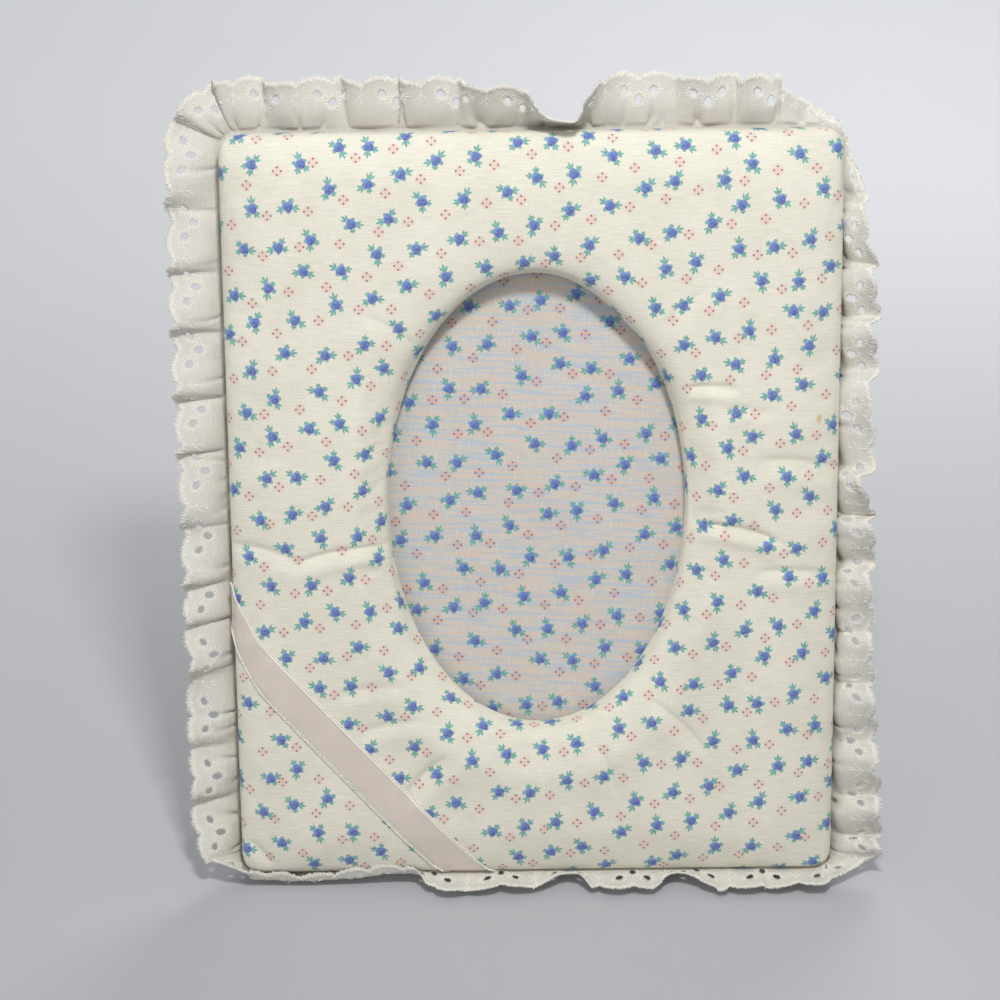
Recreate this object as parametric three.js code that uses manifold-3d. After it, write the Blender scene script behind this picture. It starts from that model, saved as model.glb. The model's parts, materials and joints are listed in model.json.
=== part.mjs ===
// Padded fabric photo frame with an eyelet ruffle, an oval opening, a satin corner ribbon and an easel leg.
// Millimetres, +Z up, the front faces -Y. The origin is under the middle of the frame, on the surface it stands on.

import * as THREE from 'three';
import { mergeVertices } from 'three/addons/utils/BufferGeometryUtils.js';
import Module from 'manifold-3d';

const wasm = await Module();
wasm.setup();

// Front board, and the finished oval opening between the turned-in cloth
const boardWidth = 203.2;
const boardHeight = 254;
const boardThickness = 2;
const boardCornerRadius = 6;
const innerCornerRadius = 2;
const ovalWidth = 101;
const ovalHeight = 157;
const ovalCentreX = 1;
const ovalCentreHeight = 130;

// Wadding on the front board: full height, height at the bare edges, and the width of the rolled edges
const paddingHeight = 9;
const paddingEdgeHeight = 2;
const edgeRollWidth = 24;
const ovalRollWidth = 18;

// Cloth, ribbon and the gap that lies between any two pieces that rest on each other
const restGap = 0.3;
const clothThickness = 0.5;
const frontTurning = 12;
const ovalTurning = 9;
const backTurning = 14;

// Satin ribbon across the lower left corner: where its middle line meets the left and the lower edge
const ribbonWidth = 12;
const ribbonThickness = 0.5;
const ribbonLeftHeight = 83;
const ribbonBottomInset = 75;
const ribbonTuck = 7;

// Ruffle of gathered eyelet trim, sewn to a flat heading band
const headingThickness = 0.8;
const headingWidth = 7;
const headingInset = 1;
const ruffleThickness = 0.9;
const ruffleHeld = 6.5;
const ruffleReach = 21;
const ruffleFolds = 36;
const ruffleFoldHeight = 3.6;
const ruffleForwardBend = 2.5;
const ruffleCurl = 2.6;
const ruffleRise = 1.2;
const standFlat = 0.5;

// Card strips that keep the photo pocket open, closed at the sides and below
const stripWidth = 10;
const stripGap = 1;

// Backing that shows in the oval, and the board that closes the back
const backingInset = 4;
const backingThickness = 2;
const backBoardThickness = 1.5;
const backingCornerRadius = 3;

// Stance: lean of the frame, and the angle between the open leg and the back
const leanDegrees = 12;
const legOpenDegrees = 27;

// Stamped steel hinge
const hingeHeight = 150;
const hingeWidth = 30;
const leafLength = 15;
const leafThickness = 0.8;
const pinRadius = 1;
const pinClearance = 0.15;
const pinHeadLength = 0.8;
const pinHeadRadius = 1.6;
const knuckleGap = 0.4;

// Rivets: shank, domed head and clinched tail
const rivetShankRadius = 1.2;
const rivetHeadRadius = 2.6;
const rivetHeadHeight = 1;
const rivetTailRadius = 2.1;
const rivetTailHeight = 0.5;

// Easel leg
const legTopWidth = 40;
const legFootWidth = 62;
const legBoardThickness = 2;
const legTopDrop = 1.5;

// Ribbon stay that stops the leg
const stayWidth = 10;
const stayThickness = 0.5;
const stayTab = 10;
const stayHeight = 48;

// Facets
const cornerSteps = 3;
const shortRunSteps = 7;
const longRunSteps = 9;
const turnedSteps = 20;
const rivetSteps = 12;
const stepsPerFold = 4;

// Places across the padded rail from the oval, 0, to the outer edge, 1
const railShares = [0, 0.03, 0.1, 0.24, 0.5, 0.76, 0.9, 0.97, 1];
// Places across the free width of the ruffle, and the unevenness of its folds
const ruffleRowShares = [0, 0.5, 1];
const foldUnevenShare = 0.3;
// Places on the ribbon: across its width, and along its front from the left edge to the lower edge
const ribbonAcrossShares = [-0.5, -0.25, 0, 0.25, 0.5];
const ribbonEndShares = [0, 0.005, 0.015, 0.03, 0.055, 0.09, 0.14, 0.21, 0.3, 0.4];
const leafRivetShares = [-0.27, 0.27];
const leafRivetHeightShare = 0.62;
const stayRivetShare = 0.5;
// Dome of a rivet head, as shares of its radius and of its height
const domeShares = [[1, 0], [0.82, 0.6], [0.45, 0.92], [0, 1]];

const lean = THREE.MathUtils.degToRad(leanDegrees);
const legOpen = THREE.MathUtils.degToRad(legOpenDegrees);

// Layers behind the front board, each one rest gap behind the one before it
const turningFrontY = boardThickness + restGap;
const turningBackY = turningFrontY + clothThickness;
const ribbonEndY = turningBackY + restGap;
const headingFrontY = ribbonEndY + ribbonThickness + restGap;
const headingBackY = headingFrontY + headingThickness;
const ruffleMiddleY = headingBackY + restGap + ruffleThickness / 2;
const backingFaceY = ruffleMiddleY + ruffleThickness / 2 + restGap;
const backingFrontY = backingFaceY + clothThickness + restGap;
const backingBackY = backingFrontY + backingThickness;
const backingTurnedY = backingBackY + restGap + clothThickness;
const backTurnedY = backingTurnedY + restGap;
const backBoardFrontY = backTurnedY + clothThickness + restGap;
const backBoardBackY = backBoardFrontY + backBoardThickness;
const backFaceY = backBoardBackY + restGap + clothThickness;

// How far cloth and ribbon stand off the board's edge, and the ruffle below them
const coverGrow = restGap + clothThickness;
const ribbonGrow = coverGrow + restGap + ribbonThickness;
const ruffleDrop = ribbonGrow + restGap + ruffleThickness / 2;

// The frame stands on the folded ruffle: height of the board's lower front edge over the floor
const panelLift =
  ruffleMiddleY * Math.sin(lean) + ruffleDrop * Math.cos(lean) + ruffleThickness / 2 + ruffleRise;

const knuckleRadius = pinRadius + pinClearance + leafThickness;
const pinY = backFaceY + restGap + knuckleRadius;
const legFaceY = knuckleRadius + restGap;
const legThickness = legBoardThickness + 2 * coverGrow;

const panelPlace = new THREE.Matrix4().makeRotationX(-lean).setPosition(0, 0, panelLift);
const legInPanel = new THREE.Matrix4().makeRotationX(legOpen).setPosition(0, pinY, hingeHeight);
const legPlace = panelPlace.clone().multiply(legInPanel);

const ovalRadiusX = ovalWidth / 2 + coverGrow;
const ovalRadiusZ = ovalHeight / 2 + coverGrow;

// Closed surface from triangles given by shared points
function meshGeometry(points, indices) {
  const geometry = new THREE.BufferGeometry();
  geometry.setAttribute('position', new THREE.Float32BufferAttribute(points.flatMap((p) => p.toArray()), 3));
  geometry.setIndex(indices);
  geometry.computeVertexNormals();
  return geometry;
}

// Solid ring: each section is a closed outline, and the last section joins the first.
// Each four-sided facet is split along its shorter diagonal, so that skins laid over each other bend alike.
function ringSolid(sections) {
  const points = sections.flat();
  const across = sections[0].length;
  const indices = [];
  sections.forEach((section, i) => {
    const row = i * across;
    const nextRow = ((i + 1) % sections.length) * across;
    section.forEach((_, j) => {
      const k = (j + 1) % across;
      const [a, b, c, d] = [row + j, row + k, nextRow + k, nextRow + j];
      const split = points[a].distanceTo(points[c]) < points[b].distanceTo(points[d]);
      indices.push(...(split ? [a, b, c, a, c, d] : [a, b, d, b, c, d]));
    });
  });
  return meshGeometry(points, indices);
}

// Solid strip: a grid of points on each side, closed along its rim
function stripSolid(face, back) {
  const rows = face.length;
  const columns = face[0].length;
  const half = rows * columns;
  const indices = [];
  const quad = (a, b, c, d) => indices.push(a, d, c, a, c, b);
  for (let i = 0; i < rows - 1; i += 1) {
    for (let j = 0; j < columns - 1; j += 1) {
      const a = i * columns + j;
      quad(a, a + 1, a + columns + 1, a + columns);
      quad(half + a, half + a + columns, half + a + columns + 1, half + a + 1);
    }
    const left = i * columns;
    const right = left + columns - 1;
    quad(left, left + columns, half + left + columns, half + left);
    quad(right + columns, right, half + right, half + right + columns);
  }
  for (let j = 0; j < columns - 1; j += 1) {
    const last = (rows - 1) * columns + j;
    quad(j + 1, j, half + j, half + j + 1);
    quad(last, last + 1, half + last + 1, half + last);
  }
  return meshGeometry([...face.flat(), ...back.flat()], indices);
}

function solidOf(geometry) {
  const bare = geometry.clone();
  bare.deleteAttribute('normal');
  bare.deleteAttribute('uv');
  const merged = mergeVertices(bare);
  return new wasm.Manifold(
    new wasm.Mesh({
      numProp: 3,
      vertProperties: Float32Array.from(merged.attributes.position.array),
      triVerts: Uint32Array.from(merged.index.array),
    }),
  );
}

function geometryOf(solid) {
  const { vertProperties, triVerts } = solid.getMesh();
  const geometry = new THREE.BufferGeometry();
  geometry.setAttribute('position', new THREE.BufferAttribute(vertProperties, 3));
  geometry.setIndex(new THREE.BufferAttribute(triVerts, 1));
  geometry.computeVertexNormals();
  return geometry;
}

function cut(geometry, ...tools) {
  return geometryOf(tools.reduce((solid, tool) => solid.subtract(solidOf(tool)), solidOf(geometry)));
}

function join(geometry, ...others) {
  return geometryOf(others.reduce((solid, other) => solid.add(solidOf(other)), solidOf(geometry)));
}

// Plate between two depths, from an outline drawn in X and Z
function plate(shape, frontY, backY) {
  const settings = { depth: backY - frontY, bevelEnabled: false, curveSegments: cornerSteps };
  const geometry = new THREE.ExtrudeGeometry(shape, settings);
  return geometry.rotateX(Math.PI / 2).translate(0, backY, 0);
}

function block(low, high) {
  const size = high.map((value, axis) => value - low[axis]);
  const middle = high.map((value, axis) => (value + low[axis]) / 2);
  return new THREE.BoxGeometry(...size).translate(...middle);
}

// Everything below the floor, in the frame of a placed group
function belowFloor(place, raise) {
  const reach = 2 * boardHeight;
  return block([-reach, -reach, -reach], [reach, reach, raise]).applyMatrix4(place.clone().invert());
}

// Round rod through the thickness, for rivet holes
function rod(radius, x, z, frontY, backY) {
  return new THREE.CylinderGeometry(radius, radius, backY - frontY, rivetSteps)
    .translate(x, (frontY + backY) / 2, z);
}

// The outline of the front board, as runs and corners that share one parametrisation at any distance from it
const coreWidth = boardWidth / 2 - boardCornerRadius;
const coreLow = boardCornerRadius;
const coreHigh = boardHeight - boardCornerRadius;
const cores = [
  { point: new THREE.Vector2(coreWidth, coreLow), corner: new THREE.Vector2(1, -1) },
  { point: new THREE.Vector2(coreWidth, coreHigh), corner: new THREE.Vector2(1, 1) },
  { point: new THREE.Vector2(-coreWidth, coreHigh), corner: new THREE.Vector2(-1, 1) },
  { point: new THREE.Vector2(-coreWidth, coreLow), corner: new THREE.Vector2(-1, -1) },
];
const outlineParts = cores.flatMap((core, i) => {
  const next = cores[(i + 1) % cores.length];
  const startAngle = (i * Math.PI) / 2;
  return [
    { from: core, to: next, startAngle, turn: 0 },
    { from: next, to: next, startAngle, turn: Math.PI / 2 },
  ];
});

function stationIn(part, share) {
  const angle = part.startAngle + part.turn * share;
  const out = new THREE.Vector2(Math.cos(angle), Math.sin(angle));
  const core = part.from.point.clone().lerp(part.to.point, share);
  const corner = part.from.corner.clone().lerp(part.to.corner, share);
  // An outline far inside the board keeps a small corner radius of its own
  const at = (grow) => {
    const radius = Math.max(boardCornerRadius + grow, innerCornerRadius);
    const inward = radius - boardCornerRadius - grow;
    return core.clone().addScaledVector(corner, -inward).addScaledVector(out, radius);
  };
  return { out, at };
}

// Stations at the ends of every run and corner, with steps between them
function steppedStations(shortSteps, longSteps) {
  return outlineParts.flatMap((part, i) => {
    const runSteps = i % 4 === 0 ? longSteps : shortSteps;
    const steps = part.turn > 0 ? cornerSteps : runSteps;
    return Array.from({ length: steps }, (_, k) => stationIn(part, k / steps));
  });
}

// Stations at even distances along the outline grown by some width
function evenStations(count, grow) {
  const lengths = outlineParts.map(
    (part) => part.from.point.distanceTo(part.to.point) + part.turn * (boardCornerRadius + grow),
  );
  const total = lengths.reduce((sum, length) => sum + length, 0);
  return Array.from({ length: count }, (_, k) => {
    let along = (total * k) / count;
    let i = 0;
    while (along >= lengths[i]) {
      along -= lengths[i];
      i += 1;
    }
    return { ...stationIn(outlineParts[i], along / lengths[i]), share: k / count };
  });
}

// Rolled edge of the wadding: 0 at the edge, 1 where it is full
function rolled(distance, width) {
  const rest = 1 - THREE.MathUtils.clamp(distance / width, 0, 1);
  return Math.sqrt(1 - rest * rest);
}

function crownAt(x, z) {
  const dx = x - ovalCentreX;
  const dz = z - ovalCentreHeight;
  const ring = Math.hypot(dx / ovalRadiusX, dz / ovalRadiusZ);
  const slope = Math.hypot(dx / ovalRadiusX ** 2, dz / ovalRadiusZ ** 2) / ring;
  const full =
    rolled(boardWidth / 2 - Math.abs(x), edgeRollWidth) *
    rolled(Math.min(z, boardHeight - z), edgeRollWidth) *
    rolled((ring - 1) / slope, ovalRollWidth);
  return paddingEdgeHeight + (paddingHeight - paddingEdgeHeight) * full;
}

// Point that stands off the wadding's surface, along that surface's own direction
function offCrown(x, z, off) {
  const step = restGap;
  const slopeX = (crownAt(x + step, z) - crownAt(x - step, z)) / (2 * step);
  const slopeZ = (crownAt(x, z + step) - crownAt(x, z - step)) / (2 * step);
  return new THREE.Vector3(-slopeX, -1, -slopeZ)
    .normalize()
    .multiplyScalar(off)
    .add(new THREE.Vector3(x, -crownAt(x, z), z));
}

// One station of the padded ring: the board's edge, the oval's edge on the same ray, and both outward directions
function railAt(station) {
  const outer = station.at(0);
  const centre = new THREE.Vector2(ovalCentreX, ovalCentreHeight);
  const ray = outer.clone().sub(centre).normalize();
  const reach = 1 / Math.hypot(ray.x / ovalRadiusX, ray.y / ovalRadiusZ);
  const inner = centre.clone().addScaledVector(ray, reach);
  const ovalOut = new THREE.Vector2(ray.x / ovalRadiusX ** 2, ray.y / ovalRadiusZ ** 2).normalize();
  return { outer, out: station.out, turned: station.at(-frontTurning), inner, ovalOut };
}

const at = (point, y) => new THREE.Vector3(point.x, y, point.y);
const moved = (point, direction, distance) => point.clone().addScaledVector(direction, distance);

// Wadding surface from the oval to the outer edge, standing off by some distance
function crownLine(rail, off) {
  return railShares.map((share) => {
    const point = rail.inner.clone().lerp(rail.outer, share);
    if (share === 0) return at(moved(rail.inner, rail.ovalOut, -off), -paddingEdgeHeight - off / 2);
    if (share === 1) return at(moved(rail.outer, rail.out, off), -paddingEdgeHeight - off / 2);
    return offCrown(point.x, point.y, off);
  });
}

// Cloth drawn over the wadding, round both edges of the board and turned in behind it
function coverLine(rail, off) {
  const behind = boardThickness + off;
  return [
    at(moved(rail.inner, rail.ovalOut, ovalTurning), behind),
    at(moved(rail.inner, rail.ovalOut, -off), behind),
    ...crownLine(rail, off),
    at(moved(rail.outer, rail.out, off), behind),
    at(rail.turned, behind),
  ];
}

const rails = steppedStations(shortRunSteps, longRunSteps).map(railAt);

function frontBoard() {
  return ringSolid(
    rails.map((rail) => [
      at(rail.inner, 0),
      at(rail.outer, 0),
      at(rail.outer, boardThickness),
      at(rail.inner, boardThickness),
    ]),
  );
}

function frontPadding() {
  return ringSolid(
    rails.map((rail) => [...crownLine(rail, 0), at(rail.outer, -restGap), at(rail.inner, -restGap)]),
  );
}

function frontCover() {
  return ringSolid(
    rails.map((rail) => [...coverLine(rail, coverGrow), ...coverLine(rail, restGap).reverse()]),
  );
}

// Flat ring behind the board's edge
function headingBand() {
  return ringSolid(
    steppedStations(1, 1).map((station) => [
      at(station.at(-headingInset - headingWidth), headingFrontY),
      at(station.at(-headingInset), headingFrontY),
      at(station.at(-headingInset), headingBackY),
      at(station.at(-headingInset - headingWidth), headingBackY),
    ]),
  );
}

// Directions along the floor and up from it, in the leaning frame of the panel
const panelFront = new THREE.Vector3(0, -1, 0);
const floorForward = new THREE.Vector3(0, -Math.cos(lean), -Math.sin(lean));
const floorUp = new THREE.Vector3(0, -Math.sin(lean), Math.cos(lean));

// Gathered trim: it stands out all round, and below it turns forward and lies on the floor under the frame
function ruffleSection(station, index) {
  const down = Math.max(0, -station.out.y);
  const phase = (2 * Math.PI * index) / stepsPerFold;
  const turns = 2 * Math.PI * station.share;
  const uneven = 1 + foldUnevenShare * (Math.sin(3 * turns) + Math.sin(7 * turns)) / 2;
  const wave = Math.sin(phase) * uneven;
  const root = at(station.at(ruffleDrop), ruffleMiddleY);
  const outward = new THREE.Vector3(station.out.x, 0, Math.max(0, station.out.y));
  const away = outward.addScaledVector(floorForward, down).multiplyScalar(ruffleReach - ruffleDrop);
  const facing = panelFront.clone().lerp(floorUp, down).normalize();
  const bendFacing = panelFront.clone().add(facing).normalize();
  const crest = (ruffleRise + standFlat) / 2;
  const middle = ruffleRowShares.map((share) => {
    const standing = (ruffleFoldHeight * wave + ruffleForwardBend) * share;
    const lying = crest * (1 + wave) * Math.min(1, 2 * share) + ruffleCurl * (1 + wave) * Math.max(0, 2 * share - 1);
    const settle = (ruffleRise + standFlat) * Math.min(1, 2 * share) * down;
    return root
      .clone()
      .addScaledVector(away, share)
      .addScaledVector(facing, standing * (1 - down) + lying * down)
      .addScaledVector(floorUp, -settle);
  });
  const line = [at(station.at(-ruffleHeld), ruffleMiddleY), ...middle];
  const sides = [panelFront, bendFacing, facing, facing];
  const skin = (half) => line.map((point, k) => point.clone().addScaledVector(sides[k], half));
  return [...skin(ruffleThickness / 2), ...skin(-ruffleThickness / 2).reverse()];
}

function eyeletRuffle() {
  const stations = evenStations(ruffleFolds * stepsPerFold, ruffleReach / 2);
  return cut(ringSolid(stations.map(ruffleSection)), belowFloor(panelPlace, 0));
}

// Satin ribbon laid over the padded corner, down the board's two edges and tucked in behind
function ribbonSkin(off) {
  const sideDepth = paddingEdgeHeight + boardThickness;
  const run = new THREE.Vector2(ribbonBottomInset, -ribbonLeftHeight).normalize();
  const left = -boardWidth / 2;
  const columns = ribbonAcrossShares.map((share) => {
    const across = share * ribbonWidth;
    return {
      start: new THREE.Vector2(left, ribbonLeftHeight + across / run.x),
      end: new THREE.Vector2(left + ribbonBottomInset - across / run.y, 0),
    };
  });
  const frontShares = [...ribbonEndShares, 0.5, ...ribbonEndShares.map((share) => 1 - share).reverse()];
  const edgeY = -paddingEdgeHeight - off / 2;
  const behindY = boardThickness + off;
  const leftRow = (past, x, y) =>
    columns.map(({ start }) => new THREE.Vector3(x, y, start.y - (past * run.y) / run.x));
  const bottomRow = (past, z, y) =>
    columns.map(({ end }) => new THREE.Vector3(end.x - (past * run.x) / run.y, y, z));
  const frontRow = (share) =>
    columns.map(({ start, end }) => {
      const point = start.clone().lerp(end, share);
      return offCrown(point.x, point.y, off);
    });
  return [
    leftRow(sideDepth + ribbonTuck, left + ribbonTuck, behindY),
    leftRow(sideDepth, left - off, behindY),
    leftRow(0, left - off, edgeY),
    ...frontShares.slice(1, -1).map(frontRow),
    bottomRow(0, -off, edgeY),
    bottomRow(sideDepth, -off, behindY),
    bottomRow(sideDepth + ribbonTuck, ribbonTuck, behindY),
  ];
}

function cornerRibbon() {
  return stripSolid(ribbonSkin(ribbonGrow), ribbonSkin(coverGrow + restGap));
}

// Card strips between the front and the backing, inside the heading band
const stripInset = Math.max(headingInset + headingWidth, ruffleHeld, ribbonTuck) + stripGap;
const stripFrontY = turningBackY + restGap;
const stripBackY = backingFaceY - restGap;

function sideStrip(side) {
  const outer = side * (boardWidth / 2 - stripInset);
  const inner = outer - side * stripWidth;
  return block(
    [Math.min(outer, inner), stripFrontY, stripInset],
    [Math.max(outer, inner), stripBackY, boardHeight - stripInset],
  );
}

function bottomStrip() {
  const reach = boardWidth / 2 - stripInset - stripWidth - restGap;
  return block([-reach, stripFrontY, stripInset], [reach, stripBackY, stripInset + stripWidth]);
}

// Outline of the backing, grown or shrunk all round
function backingShape(grow) {
  const halfWidth = boardWidth / 2 - backingInset + grow;
  const low = backingInset - grow;
  const high = boardHeight - backingInset + grow;
  const radius = backingCornerRadius + Math.max(grow, 0);
  const right = Math.PI / 2;
  return new THREE.Shape()
    .absarc(halfWidth - radius, low + radius, radius, -right, 0)
    .absarc(halfWidth - radius, high - radius, radius, 0, right)
    .absarc(-halfWidth + radius, high - radius, radius, right, 2 * right)
    .absarc(-halfWidth + radius, low + radius, radius, 2 * right, 3 * right)
    .closePath();
}

// Cloth drawn round a board: a face, four sides, and turnings that leave a window on the hidden side
function wrappedCloth(frontY, backY, windowFrontY, windowBackY) {
  return cut(
    plate(backingShape(coverGrow), frontY, backY),
    plate(backingShape(restGap), frontY + clothThickness, backY - clothThickness),
    plate(backingShape(-backTurning), windowFrontY, windowBackY),
  );
}

const backingBoard = () => plate(backingShape(0), backingFrontY, backingBackY);
const backingCover = () => wrappedCloth(backingFaceY, backingTurnedY, backingBackY, backTurnedY);

// Rivet places on the back: two through the fixed leaf and one through the stay
const leafRivetXs = leafRivetShares.map((share) => share * hingeWidth);
const leafRivetRise = leafRivetHeightShare * leafLength;
const stayRivetDrop = stayRivetShare * stayTab;
const backHoles = () => [
  ...leafRivetXs.map((x) => [x, hingeHeight + leafRivetRise]),
  [0, stayHeight - stayRivetDrop],
].map(([x, z]) => rod(rivetShankRadius + restGap, x, z, backTurnedY, backFaceY + restGap));

const backBoard = () => cut(plate(backingShape(0), backBoardFrontY, backBoardBackY), ...backHoles());

function backCover() {
  const cloth = wrappedCloth(backTurnedY, backFaceY, backingTurnedY, backBoardFrontY);
  return cut(cloth, ...backHoles());
}

// Rod along X, for the hinge
function crossRod(radius, low, high) {
  return new THREE.CylinderGeometry(radius, radius, high - low, turnedSteps)
    .rotateZ(Math.PI / 2)
    .translate((low + high) / 2, 0, 0);
}

// Hinge leaf about its pin: a plate that rises from its rolled knuckles, notched where the other leaf's are
function hingeLeaf(knuckles, notches) {
  const half = hingeWidth / 2;
  const sheet = block([-half, -knuckleRadius, 0], [half, leafThickness - knuckleRadius, leafLength]);
  const clear = knuckleRadius + knuckleGap;
  const rolls = knuckles.map(([low, high]) => crossRod(knuckleRadius, low, high));
  const gaps = notches.map(([low, high]) => block([low, -clear, -clear], [high, clear, clear]));
  const bore = crossRod(pinRadius + pinClearance, -hingeWidth, hingeWidth);
  const holes = leafRivetXs.map((x) => rod(rivetShankRadius + restGap, x, leafRivetRise, -clear, clear));
  return cut(join(cut(sheet, ...gaps), ...rolls), bore, ...holes);
}

const knuckleEdge = hingeWidth / 6;
const middleEdge = knuckleEdge - knuckleGap;

function fixedLeaf() {
  const half = hingeWidth / 2;
  return hingeLeaf([[-half, -knuckleEdge], [knuckleEdge, half]], [[-knuckleEdge, knuckleEdge]]);
}

function movingLeaf() {
  const past = hingeWidth;
  return hingeLeaf([[-middleEdge, middleEdge]], [[-past, -middleEdge], [middleEdge, past]]).rotateX(Math.PI);
}

function turned(profile, steps) {
  return new THREE.LatheGeometry(profile.map(([radius, y]) => new THREE.Vector2(radius, y)), steps);
}

function hingePin() {
  const half = hingeWidth / 2 + restGap;
  const end = half + pinHeadLength;
  return turned([
    [0, -end],
    [pinHeadRadius, -end],
    [pinHeadRadius, -half],
    [pinRadius, -half],
    [pinRadius, half],
    [pinHeadRadius, half],
    [pinHeadRadius, end],
    [0, end],
  ], turnedSteps).rotateZ(Math.PI / 2);
}

// Rivet whose head lies on the plane y = 0 and whose tail is clinched one grip below it
function rivet(grip) {
  const tailY = -grip - restGap;
  return turned([
    [0, tailY - rivetTailHeight],
    [rivetTailRadius, tailY - rivetTailHeight],
    [rivetTailRadius, tailY],
    [rivetShankRadius, tailY],
    [rivetShankRadius, restGap],
    ...domeShares.map(([out, up]) => [rivetHeadRadius * out, restGap + rivetHeadHeight * up]),
  ], rivetSteps);
}

// Rivet with its head behind the panel, and one on the leg with its head towards the panel
const backRivet = (headY, x, z) => rivet(headY - backBoardFrontY).translate(x, headY, z);
const legRivet = (headY, x, z) => rivet(legBackY - headY).rotateX(Math.PI).translate(x, headY, z);

// Easel leg about the hinge pin, drawn closed against the back: it widens to its foot
const legBackY = legFaceY + legThickness;
const stanceAngle = legOpen - lean;
const pinHeight = panelLift - pinY * Math.sin(lean) + hingeHeight * Math.cos(lean);
const legLength = pinHeight / Math.cos(stanceAngle);
const legSlope = (legFootWidth - legTopWidth) / 2 / (legLength - legTopDrop);

function legShape(grow, topGrow) {
  const halfAt = (z) => legTopWidth / 2 + legSlope * (-legTopDrop - z) + grow * Math.hypot(1, legSlope);
  const top = topGrow - legTopDrop;
  const low = -legLength - legFootWidth;
  return new THREE.Shape([
    new THREE.Vector2(-halfAt(low), low),
    new THREE.Vector2(halfAt(low), low),
    new THREE.Vector2(halfAt(top), top),
    new THREE.Vector2(-halfAt(top), top),
  ]);
}

const stayReach = hingeHeight - stayHeight;
const legHoles = () => [
  ...leafRivetXs.map((x) => [x, -leafRivetRise]),
  [0, -stayReach - stayRivetDrop],
].map(([x, z]) => rod(rivetShankRadius + restGap, x, z, legFaceY - restGap, legBackY + restGap));

function legBoard() {
  const board = plate(legShape(0, 0), legFaceY + coverGrow, legBackY - coverGrow);
  return cut(board, belowFloor(legPlace, coverGrow), ...legHoles());
}

// Cloth sleeve of the leg, closed under the foot and open at the top
function legCover() {
  const outside = plate(legShape(coverGrow, coverGrow), legFaceY, legBackY);
  const hollow = plate(legShape(restGap, legTopWidth), legFaceY + clothThickness, legBackY - clothThickness);
  const inside = cut(hollow, belowFloor(legPlace, clothThickness));
  return cut(outside, belowFloor(legPlace, 0), inside, ...legHoles());
}

// Ribbon stay: a tab down the back, a taut run to the leg and a tab down the leg
function stayRibbon() {
  const backX = backFaceY + restGap + stayThickness / 2;
  const legX = legFaceY - restGap - stayThickness / 2;
  const onLeg = (z) => new THREE.Vector3(0, legX, z).applyMatrix4(legInPanel);
  const line = [
    new THREE.Vector3(0, backX, stayHeight - stayTab),
    new THREE.Vector3(0, backX, stayHeight),
    onLeg(-stayReach),
    onLeg(-stayReach - stayTab),
  ].map((point) => new THREE.Vector2(point.y, point.z));
  const runs = line.slice(1).map((point, i) => point.clone().sub(line[i]).normalize());
  const side = (half) => line.map((point, i) => {
    const before = runs[Math.max(i - 1, 0)];
    const after = runs[Math.min(i, runs.length - 1)];
    const across = new THREE.Vector2(-before.y - after.y, before.x + after.x).normalize();
    return point.clone().addScaledVector(across, half / (across.x * -before.y + across.y * before.x));
  });
  const half = stayThickness / 2;
  const strip = new THREE.ExtrudeGeometry(new THREE.Shape([...side(-half), ...side(half).reverse()]), {
    depth: stayWidth,
    bevelEnabled: false,
  });
  const axes = [new THREE.Vector3(0, 1, 0), new THREE.Vector3(0, 0, 1), new THREE.Vector3(1, 0, 0)];
  strip.applyMatrix4(new THREE.Matrix4().makeBasis(...axes)).translate(-stayWidth / 2, 0, 0);
  const hole = rivetShankRadius + restGap;
  const backHole = rod(hole, 0, stayHeight - stayRivetDrop, backFaceY, backFaceY + stayTab);
  const legHole = rod(hole, 0, -stayReach - stayRivetDrop, legFaceY - stayTab, legFaceY);
  return cut(strip, backHole, legHole.applyMatrix4(legInPanel));
}

const cotton = { color: 0xe3e1d1, roughness: 0.9, metalness: 0 };
const lining = { color: 0xdedbcc, roughness: 0.92, metalness: 0 };
const eyelet = { color: 0xebebe8, roughness: 0.9, metalness: 0 };
const satin = { color: 0xeadfce, roughness: 0.35, metalness: 0 };
const wadding = { color: 0xf3f2ee, roughness: 1, metalness: 0 };
const greyboard = { color: 0x9b958a, roughness: 0.95, metalness: 0 };
const steel = { color: 0xb4b3ae, roughness: 0.35, metalness: 1 };
const brass = { color: 0xc9a55c, roughness: 0.35, metalness: 1 };

function part(name, geometry, finish) {
  const mesh = new THREE.Mesh(geometry, new THREE.MeshStandardMaterial(finish));
  mesh.name = name;
  return mesh;
}

const leg = new THREE.Group();
const leafHeadY = knuckleRadius - leafThickness;
leg.add(
  part('hinge_moving_leaf', movingLeaf(), steel),
  part('leg_board', legBoard(), greyboard),
  part('leg_cover', legCover(), lining),
  part('leg_rivet_left', legRivet(leafHeadY, leafRivetXs[0], -leafRivetRise), steel),
  part('leg_rivet_right', legRivet(leafHeadY, leafRivetXs[1], -leafRivetRise), steel),
  part('stay_rivet_leg', legRivet(legFaceY - restGap - stayThickness, 0, -stayReach - stayRivetDrop), brass),
);
leg.position.set(0, pinY, hingeHeight);
leg.rotation.x = legOpen;

const hinge = new THREE.Group();
hinge.add(part('hinge_fixed_leaf', fixedLeaf(), steel), part('hinge_pin', hingePin(), steel));
hinge.position.set(0, pinY, hingeHeight);

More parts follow.
